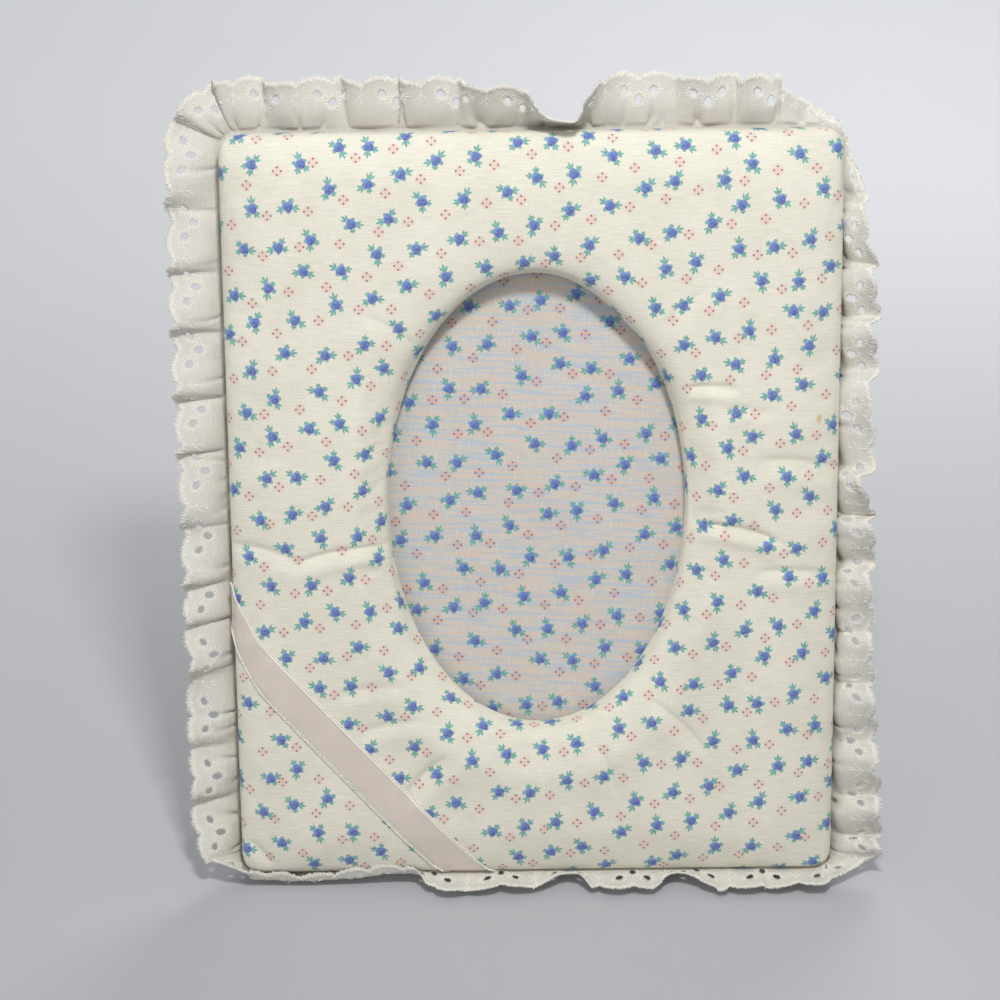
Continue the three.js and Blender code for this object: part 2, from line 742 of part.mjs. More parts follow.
const panel = new THREE.Group();
const backHeadY = pinY - leafHeadY;
const leafRivetZ = hingeHeight + leafRivetRise;
panel.add(
  part('front_board', frontBoard(), greyboard),
  part('front_padding', frontPadding(), wadding),
  part('front_cover', frontCover(), cotton),
  part('corner_ribbon', cornerRibbon(), satin),
  part('heading_band', headingBand(), lining),
  part('eyelet_ruffle', eyeletRuffle(), eyelet),
  part('pocket_strip_left', sideStrip(-1), greyboard),
  part('pocket_strip_right', sideStrip(1), greyboard),
  part('pocket_strip_bottom', bottomStrip(), greyboard),
  part('backing_board', backingBoard(), greyboard),
  part('backing_cover', backingCover(), cotton),
  part('back_board', backBoard(), greyboard),
  part('back_cover', backCover(), lining),
  part('hinge_rivet_left', backRivet(backHeadY, leafRivetXs[0], leafRivetZ), steel),
  part('hinge_rivet_right', backRivet(backHeadY, leafRivetXs[1], leafRivetZ), steel),
  part('stay_ribbon', stayRibbon(), satin),
  part('stay_rivet_back', backRivet(backFaceY + restGap + stayThickness, 0, stayHeight - stayRivetDrop), brass),
  hinge,
  leg,
);
panel.position.z = panelLift;
panel.rotation.x = -lean;

// The whole frame stands centred over the origin
const photoFrame = new THREE.Group();
photoFrame.add(panel);
const extent = new THREE.Box3().setFromObject(photoFrame, true);
photoFrame.position.x = -(extent.min.x + extent.max.x) / 2;
photoFrame.position.y = -(extent.min.y + extent.max.y) / 2;

export default photoFrame;
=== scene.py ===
import json
import math

import bpy
import numpy as np
from bpy.props import FloatProperty, FloatVectorProperty, IntProperty, PointerProperty
from bpy.types import Operator, Panel, PropertyGroup
from mathutils import Matrix, Vector
from mathutils.bvhtree import BVHTree
from mathutils.geometry import delaunay_2d_cdt


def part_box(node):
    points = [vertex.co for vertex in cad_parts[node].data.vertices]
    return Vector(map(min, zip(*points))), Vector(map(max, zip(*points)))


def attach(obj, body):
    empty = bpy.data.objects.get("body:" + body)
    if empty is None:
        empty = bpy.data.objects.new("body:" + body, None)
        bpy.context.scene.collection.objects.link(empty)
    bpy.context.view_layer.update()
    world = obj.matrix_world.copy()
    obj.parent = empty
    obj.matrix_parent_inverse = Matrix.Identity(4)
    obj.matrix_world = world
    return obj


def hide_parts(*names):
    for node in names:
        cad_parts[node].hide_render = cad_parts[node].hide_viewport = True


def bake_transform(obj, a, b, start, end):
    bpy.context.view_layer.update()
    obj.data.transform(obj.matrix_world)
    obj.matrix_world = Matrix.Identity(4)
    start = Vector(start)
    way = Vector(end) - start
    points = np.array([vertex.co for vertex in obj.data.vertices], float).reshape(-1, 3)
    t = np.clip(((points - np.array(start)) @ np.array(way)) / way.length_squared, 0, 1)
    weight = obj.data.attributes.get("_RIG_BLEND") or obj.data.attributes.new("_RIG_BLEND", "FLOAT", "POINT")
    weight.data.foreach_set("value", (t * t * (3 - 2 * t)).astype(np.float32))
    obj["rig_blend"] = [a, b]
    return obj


bl_info = {
    "name": "Padded Photo Frame",
    "version": (1, 0, 0),
    "blender": (4, 5, 0),
    "location": "View3D > Sidebar > Photo Frame",
    "description": "Dresses a padded cotton photo frame with its ruffle, ribbon, linings and easel leg",
    "category": "Object",
}

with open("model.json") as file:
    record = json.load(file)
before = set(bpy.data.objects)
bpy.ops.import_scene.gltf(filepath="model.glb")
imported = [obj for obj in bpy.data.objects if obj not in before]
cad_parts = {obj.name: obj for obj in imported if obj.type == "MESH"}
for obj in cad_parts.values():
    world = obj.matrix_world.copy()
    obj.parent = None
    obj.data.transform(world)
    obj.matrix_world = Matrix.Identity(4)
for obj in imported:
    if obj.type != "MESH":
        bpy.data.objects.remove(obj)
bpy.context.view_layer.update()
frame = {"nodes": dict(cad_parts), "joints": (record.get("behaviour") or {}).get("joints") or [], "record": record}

# Places and sizes are in millimetres of the panel or of the leg, and become metres where a mesh is placed
MM = 0.001
LEAN = math.radians(12)
LEG_OPEN = math.radians(27)
BOARD_THICKNESS = 2.0
BOARD_RADIUS = 6.0


def panel_place():
    """The panel's frame: from the middle of its lower front edge, +Y to the back and +Z up the board"""
    low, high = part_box("front_board")
    lift = low.z + BOARD_THICKNESS * MM * math.sin(LEAN)
    middle = Vector(((low.x + high.x) / 2, low.y, lift))
    return Matrix.Translation(middle) @ Matrix.Rotation(-LEAN, 4, "X")


def leg_place():
    """The leg's frame: the origin on the hinge pin, +Z up along the leg"""
    return Matrix.Translation(HINGE_PIN) @ Matrix.Rotation(LEG_OPEN - LEAN, 4, "X")


HINGE_PIN = Vector(frame["joints"][0]["pos_m"])
PANEL = panel_place()
LEG = leg_place()


def placed(points, place=PANEL):
    """Points in millimetres of the panel or the leg, as points in metres of the scene"""
    turn = np.array(place.to_3x3())
    return np.asarray(points, float) * MM @ turn.T + np.array(place.translation)


def unplaced(points, place=PANEL):
    """Points in metres of the scene, as points in millimetres of the panel or the leg"""
    turn = np.array(place.to_3x3())
    return (np.asarray(points, float) - np.array(place.translation)) @ turn / MM


def points_of(mesh):
    """All vertices of a mesh as rows of three numbers"""
    flat = np.empty(len(mesh.vertices) * 3)
    mesh.vertices.foreach_get("co", flat)
    return flat.reshape(-1, 3)


def set_points(thing, points):
    thing.data.vertices.foreach_set("co", points.ravel())
    thing.data.update()


def node_points(node, place=PANEL):
    """Vertices of a CAD node in millimetres of the panel or the leg"""
    return unplaced(points_of(frame["nodes"][node].data), place)


def node_box(node, place=PANEL):
    """Lowest and highest corner of a CAD node in millimetres of the panel or the leg"""
    points = node_points(node, place)
    return points.min(0), points.max(0)


def raised(flat, depth=0.0):
    """Places on the flat of the panel or the leg, given a depth"""
    return np.column_stack([flat[:, 0], np.broadcast_to(depth, len(flat)), flat[:, 1]])


def paired(x, y):
    """Places from their two numbers"""
    return np.stack(np.broadcast_arrays(x, y), axis=-1)


def unit(vectors):
    """The same directions, each with a length of 1"""
    return vectors / np.maximum(np.linalg.norm(vectors, axis=-1, keepdims=True), 1e-9)


def running_length(points):
    """Length from the first point of a line, or from the first row of a grid"""
    steps = np.linalg.norm(np.diff(points, axis=0), axis=-1)
    return np.concatenate([np.zeros_like(steps[:1]), np.cumsum(steps, axis=0)])


def between(at, places, points):
    """Points of a line, at places between those of its own points"""
    return np.column_stack([np.interp(at, places, column) for column in points.T])


def blur_window(reach, width):
    """Weights that soften a row of numbers"""
    window = np.exp(-((np.arange(-reach, reach + 1) / width) ** 2))
    return window / window.sum()


def blurred(line, reach, width):
    return np.convolve(np.pad(line, reach, mode="edge"), blur_window(reach, width), "valid")


def smoothstep(value, low, high):
    share = np.clip((value - low) / (high - low), 0, 1)
    return share * share * (3 - 2 * share)


BOARD_LOW, BOARD_HIGH = node_box("front_board")
BOARD_WIDTH = BOARD_HIGH[0] - BOARD_LOW[0]
BOARD_HEIGHT = BOARD_HIGH[2] - BOARD_LOW[2]
COVER_BACK = node_box("front_cover")[1][1]

# Padded front, the same rule as the solid that it stands for
OVAL_CENTRE = (1.0, 130.0)
OVAL_RADII = (50.5, 78.5)
COVER_OFF = 0.8
PAD_FULL = 9.0
PAD_EDGE = 3.4
PAD_FULLNESS = 2.3
EDGE_ROLL = 24.0
OVAL_ROLL = 13.0
FRONT_TURNING = 12.0
OVAL_TURNING = 9.0
# Where the oval departs from an ellipse: direction in degrees, millimetres outwards, and width in degrees
OVAL_BUMPS = ((236, 2.6, 22), (134, 1.7, 12), (69, -1.3, 12), (40, 1.2, 12), (303, 0.9, 16))
# Creases in the padded front: from, to, depth and half width
CREASES = (
    ((51.5, 170.5), (67.5, 170), 1.5, 1.4),
    ((64, 163.5), (79, 161.5), 0.7, 1.7),
    ((76, 146), (104, 141), 1.2, 2.6),
    ((56, 124), (82, 118), 1.9, 1.6),
    ((76, 107.5), (101, 105), 1.1, 1.9),
    ((-102, 118), (-80, 113), 1.2, 2.2),
    ((-80, 112), (-50, 117), 1.6, 1.9),
    ((9.5, 254), (7, 212), 0.7, 2.8),
    ((-46, 27), (-31, 43), 1.6, 2.6),
    ((-60, 52), (-38, 56), 1.0, 2.0),
    ((-66, 66), (-44, 68), 0.8, 2.0),
    ((20, 48), (27, 30), 0.9, 2.6),
    ((40, 62), (58, 44), 1.0, 2.6),
    ((-4, 49), (-5, 30), 0.7, 2.4),
    ((-55, 196), (-38, 184), 0.6, 2.6),
    ((42, 190), (58, 204), 0.5, 2.6),
    ((-99, 12), (-92, 4), 1.4, 1.6),
)

# Eyelet trim: its repeat holds two scallops, and a strip of it is held behind its line of stitching
TRIM_CELLS = 46
TRIM_REPEAT = 27.4
TRIM_LENGTH = TRIM_CELLS * TRIM_REPEAT
TRIM_WIDTH = 18.4
TRIM_HELD = 5.0
SCALLOP_DEPTH = 3.1
TRIM_GRID = 1.0
# Its stitching runs outside the board's edge and behind the board's front, and its length is shared out
# along a wider outline
TRIM_ROOT = 1.5
TRIM_MIDDLE = 5.45
TRIM_SEAT = 14.0
# How the trim stands round the frame: place on the board's edge, degrees that it rises forward beside the
# cover, degrees that its worked edge then leans forward, and the share of its width that isn't tucked away.
# On the lower edge it lies on the floor. There the rise is how high it is carried under the cover's lip,
# with 50 where it touches the lip, and the lean is how far its worked edge curls up.
TRIM_STAND = (
    (0, 0, 50, 4, 1.0), (6, 0, 50, 20, 0.84), (11, 0, 50, 62, 0.66), (16, 0, 50, 10, 0.94),
    (30, 0, 50, 0, 1.07), (44, 0, 50, 8, 1.0), (50, 0, 50, 60, 0.68), (55, 0, 50, 8, 0.98),
    (66, 0, 50, 0, 1.1), (84, 0, 50, 4, 1.06), (97, 1, 50, 10, 1.12),
    (102, 12, 66, 8, 1.12), (102, 30, 74, 8, 1.12), (102, 52, 82, 8, 1.08),
    (102, 76, 84, 10, 1.0), (102, 100, 88, 14, 1.0), (102, 120, 88, 10, 1.0), (102, 137, 88, 46, 1.0),
    (102, 154, 88, 26, 1.0), (102, 176, 88, 24, 1.0), (102, 203, 88, 22, 1.0), (102, 217, 88, 48, 0.95),
    (102, 227, 88, 30, 0.85), (102, 236, 60, 40, 0.45), (102, 243, -20, -40, 0.12),
    (101, 251, -60, -80, 0.1), (94, 254, -30, -50, 0.25), (85, 254, 10, 0, 0.62),
    (79, 254, 30, 8, 0.96), (66, 254, 34, 12, 1.0),
    (46, 254, 32, 10, 1.0), (32, 254, 24, 4, 1.0), (24, 254, 30, 12, 1.0), (19, 254, 56, 56, 1.0),
    (14, 254, 80, 94, 1.0), (7, 254, 66, 74, 1.0), (-2, 254, 52, 52, 1.0), (-12, 254, 42, 32, 1.0),
    (-22, 254, 36, 22, 1.0), (-36, 254, 32, 14, 1.0), (-60, 254, 28, 12, 1.0), (-80, 254, 36, 16, 1.0),
    (-92, 254, 30, 6, 1.0), (-102, 246, 30, 4, 1.0), (-102, 226, 30, -4, 1.0), (-102, 200, 32, 4, 1.0),
    (-102, 170, 36, 2, 1.0), (-102, 140, 44, 12, 1.0), (-102, 118, 48, 8, 1.0), (-102, 96, 42, 14, 1.0),
    (-102, 70, 50, 20, 1.0), (-102, 58, 42, -2, 1.0), (-102, 40, 48, 12, 1.0), (-102, 22, 48, 10, 1.04),
    (-102, 12, 50, 18, 0.98), (-101, 4, 50, 50, 0.86), (-96, 0, 24, 84, 0.78), (-88, 0, 4, 88, 0.76),
    (-72, 0, 4, 88, 0.76), (-64, 0, 30, 88, 0.78), (-54, 0, 72, 88, 0.84), (-46, 0, 76, 84, 0.78),
    (-41, 0, 66, 60, 0.74), (-37, 0, 50, 14, 0.9), (-33, 0, 50, 2, 1.1), (-24, 0, 50, 2, 1.06),
    (-12, 0, 50, 6, 1.0),
)

# Ribbon across the lower left corner: its width, the triangle that it cuts off, how far it lies off the
# board's edge, a place on its middle line, and how far its end is pulled up the left edge
RIBBON_WIDTH = 12.0
RIBBON_LEFT = 83.0
RIBBON_INSET = 75.0
RIBBON_OFF = 1.35
RIBBON_MIDDLE = (-59.5, 38.1)
RIBBON_PULL = 6.0


def linear(*screen):
    """A screen colour from 0 to 255 as scene colour"""
    shares = [value / 255 for value in screen]
    return tuple(s / 12.92 if s <= 0.04045 else ((s + 0.055) / 1.055) ** 2.4 for s in shares)


def length_property(name, description, default):
    return FloatProperty(
        name=name, description=description, default=default * MM, min=0, unit="LENGTH", subtype="DISTANCE"
    )


def colour_property(name, description, *screen):
    return FloatVectorProperty(
        name=name, description=description, default=linear(*screen), min=0, max=1, size=3, subtype="COLOR"
    )


class PhotoFrameSizes(PropertyGroup):
    """Sizes that a maker would change"""

    print_pitch: length_property("Print pitch", "Distance between neighbouring roses of the print", 12.6)
    rose_size: length_property("Rose", "Width of a printed rose without its leaves", 3.6)
    dot_spread: length_property("Dots", "Distance of the printed dots from the middle of their group", 1.28)
    puff: length_property("Puff", "How far the padding may swell between its held edges", 1.6)
    fold_height: length_property("Fold height", "Height of the ruffle's folds at its edge", 3.0)
    fold_lap: length_property("Fold lap", "How far the ruffle's folds lap over each other", 3.4)
    fold_pitch: length_property("Fold pitch", "Length of trim that one fold takes", 26.0)
    trim_thickness: length_property("Trim thickness", "Thickness of the eyelet cotton", 0.32)
    sleeve_thickness: length_property("Sleeve thickness", "Thickness of the leg's cotton sleeve", 0.4)
    stitch_pitch: length_property("Stitch pitch", "Distance between stitches of the scalloped edge", 0.46)
    stitch_width: length_property("Stitch width", "Width of one embroidery stitch", 0.4)
    ribbon_thickness: length_property("Ribbon thickness", "Thickness of the satin ribbon", 0.3)
    edge_softness: length_property("Edge softness", "Rounding of cloth drawn round a board's edge", 0.9)
    seed: IntProperty(name="Seed", description="Seed of every random choice", default=7, min=0)


class PhotoFrameColours(PropertyGroup):
    """Colours of cloth, trims, board and metal"""

    cotton: colour_property("Cotton", "Ground of the printed cotton", 233, 229, 213)
    rose: colour_property("Rose", "Printed roses", 118, 154, 206)
    rose_deep: colour_property("Rose shade", "Darker strokes in the roses", 80, 96, 166)
    leaf: colour_property("Leaf", "Printed leaves", 86, 149, 140)
    dot: colour_property("Dot", "Printed dots", 168, 84, 114)
    blush: colour_property("Blush", "Tint round the printed dots", 250, 214, 212)
    spot: colour_property("Spot", "Small stain at the right of the cover", 206, 186, 138)
    eyelet: colour_property("Eyelet cotton", "White cotton of the ruffle", 222, 218, 208)
    thread: colour_property("Thread", "Embroidery thread", 242, 239, 228)
    satin: colour_property("Satin", "Corner ribbon and stay", 227, 213, 199)
    lining: colour_property("Lining", "Plain cotton of the back and the leg", 222, 219, 204)
    greyboard: colour_property("Greyboard", "Boards and strips", 158, 152, 141)
    steel: colour_property("Steel", "Hinge and its rivets", 196, 195, 190)
    brass: colour_property("Brass", "Rivets of the stay", 198, 166, 96)
    floor: colour_property("Floor", "Floor and backdrop", 186, 187, 190)


def sizes():
    return bpy.context.scene.photo_frame_sizes


def colours():
    return bpy.context.scene.photo_frame_colours


def shade(tint, factors):
    """A colour made darker or paler, by one factor or by one for each of its parts"""
    return np.minimum(1, np.array(tint) * factors).tolist()


class Tree:
    """A node tree in the making"""

    def feed(self, socket, value):
        """Links a socket, or sets its own value"""
        value = getattr(value, "socket", value)
        if isinstance(value, bpy.types.NodeSocket):
            self.tree.links.new(value, socket)
        elif socket.type == "RGBA" and len(value) == 3:
            socket.default_value = (*value, 1)
        else:
            socket.default_value = value

    def node(self, kind, values=None, **settings):
        """A node with its settings made first, and then its sockets linked or set"""
        node = self.tree.nodes.new(kind)
        for name, value in settings.items():
            setattr(node, name, value)
        for key, value in (values or {}).items():
            self.feed(node.inputs[key], value)
        return node

    def made(self, kind, values=None, **settings):
        """The first output of such a node"""
        return self.node(kind, values, **settings).outputs[0]


def math_operator(operation, swapped=False):
    """An operator of numbers in a finish, as a Math node"""

    def made(self, *other):
        return self.finish.math(operation, *((*other, self) if swapped else (self, *other)))

    return made


class Number:
    """A number that changes over a surface: an expression on it adds its Math nodes"""

    def __init__(self, finish, socket):
        self.finish = finish
        self.socket = socket

    __add__ = __radd__ = math_operator("ADD")
    __sub__ = math_operator("SUBTRACT")
    __rsub__ = math_operator("SUBTRACT", swapped=True)
    __mul__ = __rmul__ = math_operator("MULTIPLY")
    __truediv__ = math_operator("DIVIDE")
    __pow__ = math_operator("POWER")
    __abs__ = math_operator("ABSOLUTE")


class Finish(Tree):
    """A material in the making: its node tree, its shader, and the maths that feeds it"""

    def __init__(self, name, **values):
        self.material = bpy.data.materials.new(name)
        self.material.use_nodes = True
        self.tree = self.material.node_tree
        self.shader = self.tree.nodes["Principled BSDF"]
        self.dress(**values)

    def dress(self, **values):
        """Feeds the shader's sockets, which are named with _ for a space"""
        for name, value in values.items():
            self.feed(self.shader.inputs[name.replace("_", " ")], value)

    def math(self, operation, *values):
        return Number(self, self.made("ShaderNodeMath", dict(enumerate(values)), operation=operation))

    def step(self, value, low, high):
        """0 below low, 1 above high, and smooth between them"""
        values = {"Value": value, "From Min": low, "From Max": high}
        node = self.node("ShaderNodeMapRange", values, interpolation_type="SMOOTHSTEP")
        return Number(self, node.outputs["Result"])

    def mix(self, factor, first, second, blend="MIX"):
        values = {"Factor": factor, 6: first, 7: second}
        return self.node("ShaderNodeMix", values, data_type="RGBA", blend_type=blend).outputs[2]

    def vector(self, operation, *values):
        return self.made("ShaderNodeVectorMath", dict(enumerate(values)), operation=operation)

    def parts(self, vector, kind="ShaderNodeSeparateXYZ"):
        return [Number(self, socket) for socket in self.node(kind, {0: vector}).outputs]

    def noise(self, vector, scale, detail=2.0):
        """Uneven noise; a scale for each direction makes its grains longer one way than another"""
        if isinstance(scale, tuple):
            vector, scale = self.vector("MULTIPLY", vector, scale), 1.0
        node = self.node("ShaderNodeTexNoise", {"Vector": vector, "Scale": scale, "Detail": detail})
        return Number(self, node.outputs["Fac"])

    def cloth(self, turn=0.0):
        """Place on the cloth in millimetres, from the piece's own UV map"""
        uv = self.made("ShaderNodeUVMap", uv_map="cloth")
        values = {"Vector": uv, "Scale": (1 / MM, 1 / MM, 1), "Rotation": (0, 0, math.radians(turn))}
        return self.made("ShaderNodeMapping", values)

    def place(self):
        """Place in the scene in millimetres, from Object coordinates"""
        return self.vector("MULTIPLY", self.node("ShaderNodeTexCoord").outputs["Object"], (1 / MM,) * 3)

    def bump(self, height, depth, strength):
        values = {"Height": height, "Distance": depth * MM, "Strength": strength}
        self.dress(Normal=self.made("ShaderNodeBump", values))


def threads(finish, cloth, pitch):
    """Height of an uneven plain weave, from 0 to 1, and the streaks of its thicker threads both ways"""
    along = finish.noise(cloth, (0.16, 1 / pitch, 1.0), 3.0)
    across = finish.noise(cloth, (1 / pitch, 0.2, 1.0), 3.0)
    return along * 0.55 + across * 0.45, along, across


def turned(x, y, angle):
    """A place turned round the origin"""
    return x * math.cos(angle) - y * math.sin(angle), x * math.sin(angle) + y * math.cos(angle)


def scattered(finish, cloth, parity, rise, jitter):
    """The copy of a scattered motif at each point: millimetres from its middle, and its random numbers"""
    turn = math.radians(13)
    pitch = sizes().print_pitch / MM
    u, v, _ = finish.parts(cloth)
    across, up = turned(u / pitch, v / pitch, -turn)
    up = up + rise
    row = finish.math("FLOOR", up)
    across = across + finish.math("FLOORED_MODULO", row + parity, 2.0) * 0.5
    column = finish.math("FLOOR", across)
    cell = finish.made("ShaderNodeCombineXYZ", {"X": column, "Y": row, "Z": 3.0 + parity})
    dice = finish.node("ShaderNodeTexWhiteNoise", {"Vector": cell}, noise_dimensions="3D")
    first, second, third = finish.parts(dice.outputs["Color"], "ShaderNodeSeparateColor")
    x = (across - column - 0.5) * pitch - (first - 0.5) * (2 * jitter)
    y = (up - row - 0.5) * pitch - (second - 0.5) * (2 * jitter)
    return *turned(x, y, turn), first, third


def length_of(finish, x, y):
    return finish.math("SQRT", x * x + y * y)


def leaflet(finish, forward, sideways, size, half):
    """A pointed leaf, widest at its middle"""
    shape = (1 - ((forward - size * 0.5) / (size * 0.5)) ** 2.0) * half - sideways
    return finish.step(shape, -0.2, 0.17)


def rose_masks(finish, x, y, first, third):
    """A printed rose: the bloom, the strokes in it, and the tufts of leaflets round it"""
    radius = sizes().rose_size / MM / 2
    angle = finish.math("ARCTAN2", y, x) + third * (2 * math.pi)
    reach = length_of(finish, x, y)
    petals, frills = finish.math("COSINE", angle * 3 + first * 9), finish.math("COSINE", angle * 7)
    rim = petals * 0.16 + frills * 0.07 + radius
    bloom = 1 - finish.step(reach, rim - 0.3, rim + 0.24)
    # Paler at the upper left, and deeper in strokes round the middle
    strokes = y * 0.22 - x * 0.16 + finish.math("SINE", angle * 2 + reach * 2.6) * 0.16 + reach * 0.2 + 0.2
    # Five tufts of three leaflets, each tuft with a size of its own
    sector = 2 * math.pi / 5
    index = finish.math("FLOOR", angle / sector + 0.5)
    side = angle - index * sector
    size = finish.math("SINE", index * 2.4 + first * 12.0) * 1.05 + 2.05
    out = reach * finish.math("COSINE", side) - (radius - 0.4)
    off = abs(reach * finish.math("SINE", side))
    forward, sideways = turned(out - 0.1, off, -0.62)
    middle_leaf = leaflet(finish, out, off, size, 0.44)
    side_leaf = leaflet(finish, forward, abs(sideways), size * 0.8, 0.37)
    return bloom, strokes, finish.math("MAXIMUM", middle_leaf, side_leaf) * (1 - bloom)


def dot_masks(finish, x, y):
    """Four printed dots in a diamond, and the blush round them"""
    wide, narrow = finish.math("MAXIMUM", abs(x), abs(y)), finish.math("MINIMUM", abs(x), abs(y))
    dots = 1 - finish.step(length_of(finish, wide - sizes().dot_spread / MM, narrow), 0.22, 0.46)
    blush = 1 - finish.step(length_of(finish, x, y), 1.0, 2.4)
    return dots, blush


def woven_ground(finish, cloth, ground, weave, patches, shares, tones, top):
    """Cotton of uneven thread, from shares of its streaks both ways and of patches, and two tones"""
    _, along, across = weave
    light = finish.step(along, 0.25, 0.75) * shares[0] + finish.step(across, 0.25, 0.75) * shares[1]
    light = light + finish.noise(cloth, *patches) * shares[2]
    return finish.mix(finish.step(light, 0.2, top), shade(ground, tones[0]), shade(ground, tones[1]))


def shot_with_colour(finish, cloth, ground, across, base, strength):
    """Warm and cool bands of the inner cloth, and its pale threads"""
    bands = finish.noise(cloth, (0.055, 0.95, 1.0), 2.0)
    base = finish.mix(finish.step(bands, 0.5, 0.6) * strength, base, shade(ground, (0.76, 0.9, 1.14)))
    base = finish.mix((1 - finish.step(bands, 0.4, 0.5)) * strength, base, shade(ground, (1.1, 0.93, 0.82)))
    return finish.mix(finish.step(across, 0.55, 0.75) * 0.6, base, shade(ground, 1.22))


def stained(finish, base):
    """The small stain at the right of the cover"""
    x, y, _ = finish.parts(finish.vector("SUBTRACT", finish.cloth(), (95.2, 159.4, 0)))
    spot = 1 - finish.step(length_of(finish, x, y * 0.6), 0.5, 1.3)
    return finish.mix(spot * 0.8, base, colours().spot)


def printed(finish, cloth, base):
    """Small roses and groups of dots, printed on the flat of the cloth"""
    tint = colours()
    blur = finish.math("MINIMUM", finish.noise(cloth, 1.3) * 0.4 + 0.75, 1.0)
    mottle = finish.noise(cloth, 1.5, 3.0)
    dots, blush = dot_masks(finish, *scattered(finish, cloth, 1.0, 0.3, 1.5)[:2])
    bloom, strokes, leaves = rose_masks(finish, *scattered(finish, cloth, 0.0, 0.0, 2.1))
    base = finish.mix(blush * 0.5, base, finish.mix(1.0, base, tint.blush, "MULTIPLY"))
    green = finish.mix(finish.step(mottle, 0.35, 0.65), tint.leaf, shade(tint.leaf, 1.7))
    base = finish.mix(leaves * blur * 0.95, base, green)
    petal = finish.mix(strokes + (mottle - 0.5) * 1.6, tint.rose_deep, tint.rose)
    base = finish.mix(bloom * blur, base, petal)
    return finish.mix(dots * blur, base, tint.dot)


def printed_cotton(name, ground, turn=0.0, stain=False, shot=0.0):
    """Plain weave cotton with its print, for the cover and, shot with colour, for the backing"""
    finish = Finish(name, Roughness=0.92, Sheen_Weight=0.12, Sheen_Roughness=0.5)
    cloth = finish.cloth(turn)
    weave = threads(finish, cloth, 0.36)
    tones = ((0.9, 0.89, 0.86), 1.06)
    base = woven_ground(finish, cloth, ground, weave, (0.045, 1.0), (0.5, 0.18, 0.6), tones, 1.05)
    if shot:
        base = shot_with_colour(finish, cloth, ground, weave[2], base, shot)
    if stain:
        base = stained(finish, base)
    finish.dress(Base_Color=printed(finish, cloth, base))
    finish.bump(weave[0], 0.22, 0.5)
    return finish.material


def plain_cotton(name, ground, pitch, depth):
    """Plain weave cotton without a print"""
    finish = Finish(name, Roughness=0.93, Sheen_Weight=0.12, Sheen_Roughness=0.5)
    cloth = finish.cloth()
    weave = threads(finish, cloth, pitch)
    base = woven_ground(finish, cloth, ground, weave, (0.05, 2.0), (0.4, 0.3, 0.5), (0.86, 1.04), 1.1)
    finish.dress(Base_Color=base)
    finish.bump(weave[0], depth, 0.5)
    return finish.material


def embroidery_thread(name, tint):
    """Glossy cotton thread with its twist"""
    finish = Finish(name, Roughness=0.62, Sheen_Weight=0.2)
    grain = finish.noise(finish.place(), 3.0)
    finish.dress(Base_Color=finish.mix(finish.step(grain, 0.3, 0.7), shade(tint, 0.88), tint))
    finish.bump(grain, 0.12, 0.4)
    return finish.material


def satin(name, tint):
    """Satin: long floats along the ribbon, fine ribs across, and dull corded edges behind a groove, with painted
    shade in the groove
    """
    finish = Finish(name, Sheen_Weight=0.25, Sheen_Roughness=0.35, Specular_IOR_Level=1.0, IOR=1.7)
    cloth = finish.cloth()
    u, v, _ = finish.parts(cloth)
    floats = finish.noise(cloth, (0.08, 4.5, 1.0), 3.0)
    clouds = finish.noise(cloth, 0.09)
    edge = finish.step(abs(v), 5.2, 5.45)
    # Painted shade: a darker line along the groove inside each corded edge
    groove_shade = finish.step(abs(v), 4.95, 5.1) * (1 - edge)
    body = finish.mix(finish.step(floats * 0.5 + clouds * 0.6, 0.3, 0.8), shade(tint, 0.9), tint)
    body = finish.mix(groove_shade * 0.6, body, shade(tint, 0.55))
    gloss = edge * 0.3 + clouds * 0.12 + 0.2
    finish.dress(Base_Color=finish.mix(edge, body, shade(tint, 1.4)), Roughness=gloss)
    finish.bump(floats * 0.4 + finish.math("SINE", u * 9.0) * edge, 0.08, 0.35)
    return finish.material


def board_finish(name, tint):
    """Greyboard: pressed pulp with darker and paler fibres"""
    finish = Finish(name, Roughness=0.95)
    place = finish.place()
    fibres = finish.noise(place, (0.6, 1.4, 2.2), 4.0)
    specks = finish.noise(place, 1.9, 3.0)
    base = finish.mix(finish.step(fibres, 0.3, 0.7), shade(tint, 0.82), tint)
    finish.dress(Base_Color=finish.mix(finish.step(specks, 0.66, 0.74) * 0.5, base, shade(tint, 0.55)))
    finish.bump(fibres + specks * 0.5, 0.15, 0.4)
    return finish.material


def metal(name, tint, brushed, worn):
    """Plated sheet metal with fine brushing, dull spots and worn plating"""
    finish = Finish(name, Metallic=1.0)
    place = finish.place()
    grain = finish.noise(place, brushed)
    spots = finish.noise(place, 0.5, 3.0)
    base = finish.mix(finish.step(spots, 0.55, 0.75) * worn, tint, shade(tint, 0.62))
    base = finish.mix(finish.step(grain, 0.3, 0.7) * 0.25, base, shade(tint, 0.8))
    finish.dress(Base_Color=base, Roughness=spots * 0.25 + grain * 0.12 + 0.16)
    finish.bump(grain, 0.03, 0.3)
    return finish.material


def mesh_object(name, points, faces, material, uv=None):
    """A mesh object with its place in its vertices. UVs are one for each vertex, in metres of cloth."""
    mesh = bpy.data.meshes.new(name)
    mesh.from_pydata(np.asarray(points).tolist(), [], faces)
    mesh.validate()
    if uv is not None:
        lay_uv(mesh, uv)
    mesh.shade_smooth()
    mesh.materials.append(material)
    return linked(name, mesh)


def linked(name, data):
    """An object in the scene"""
    thing = bpy.data.objects.new(name, data)
    bpy.context.scene.collection.objects.link(thing)
    return thing


def lay_uv(mesh, uv):
    corners = np.empty(len(mesh.loops), int)
    mesh.loops.foreach_get("vertex_index", corners)
    layer = mesh.uv_layers.new(name="cloth")
    layer.data.foreach_set("uv", np.asarray(uv)[corners].ravel())


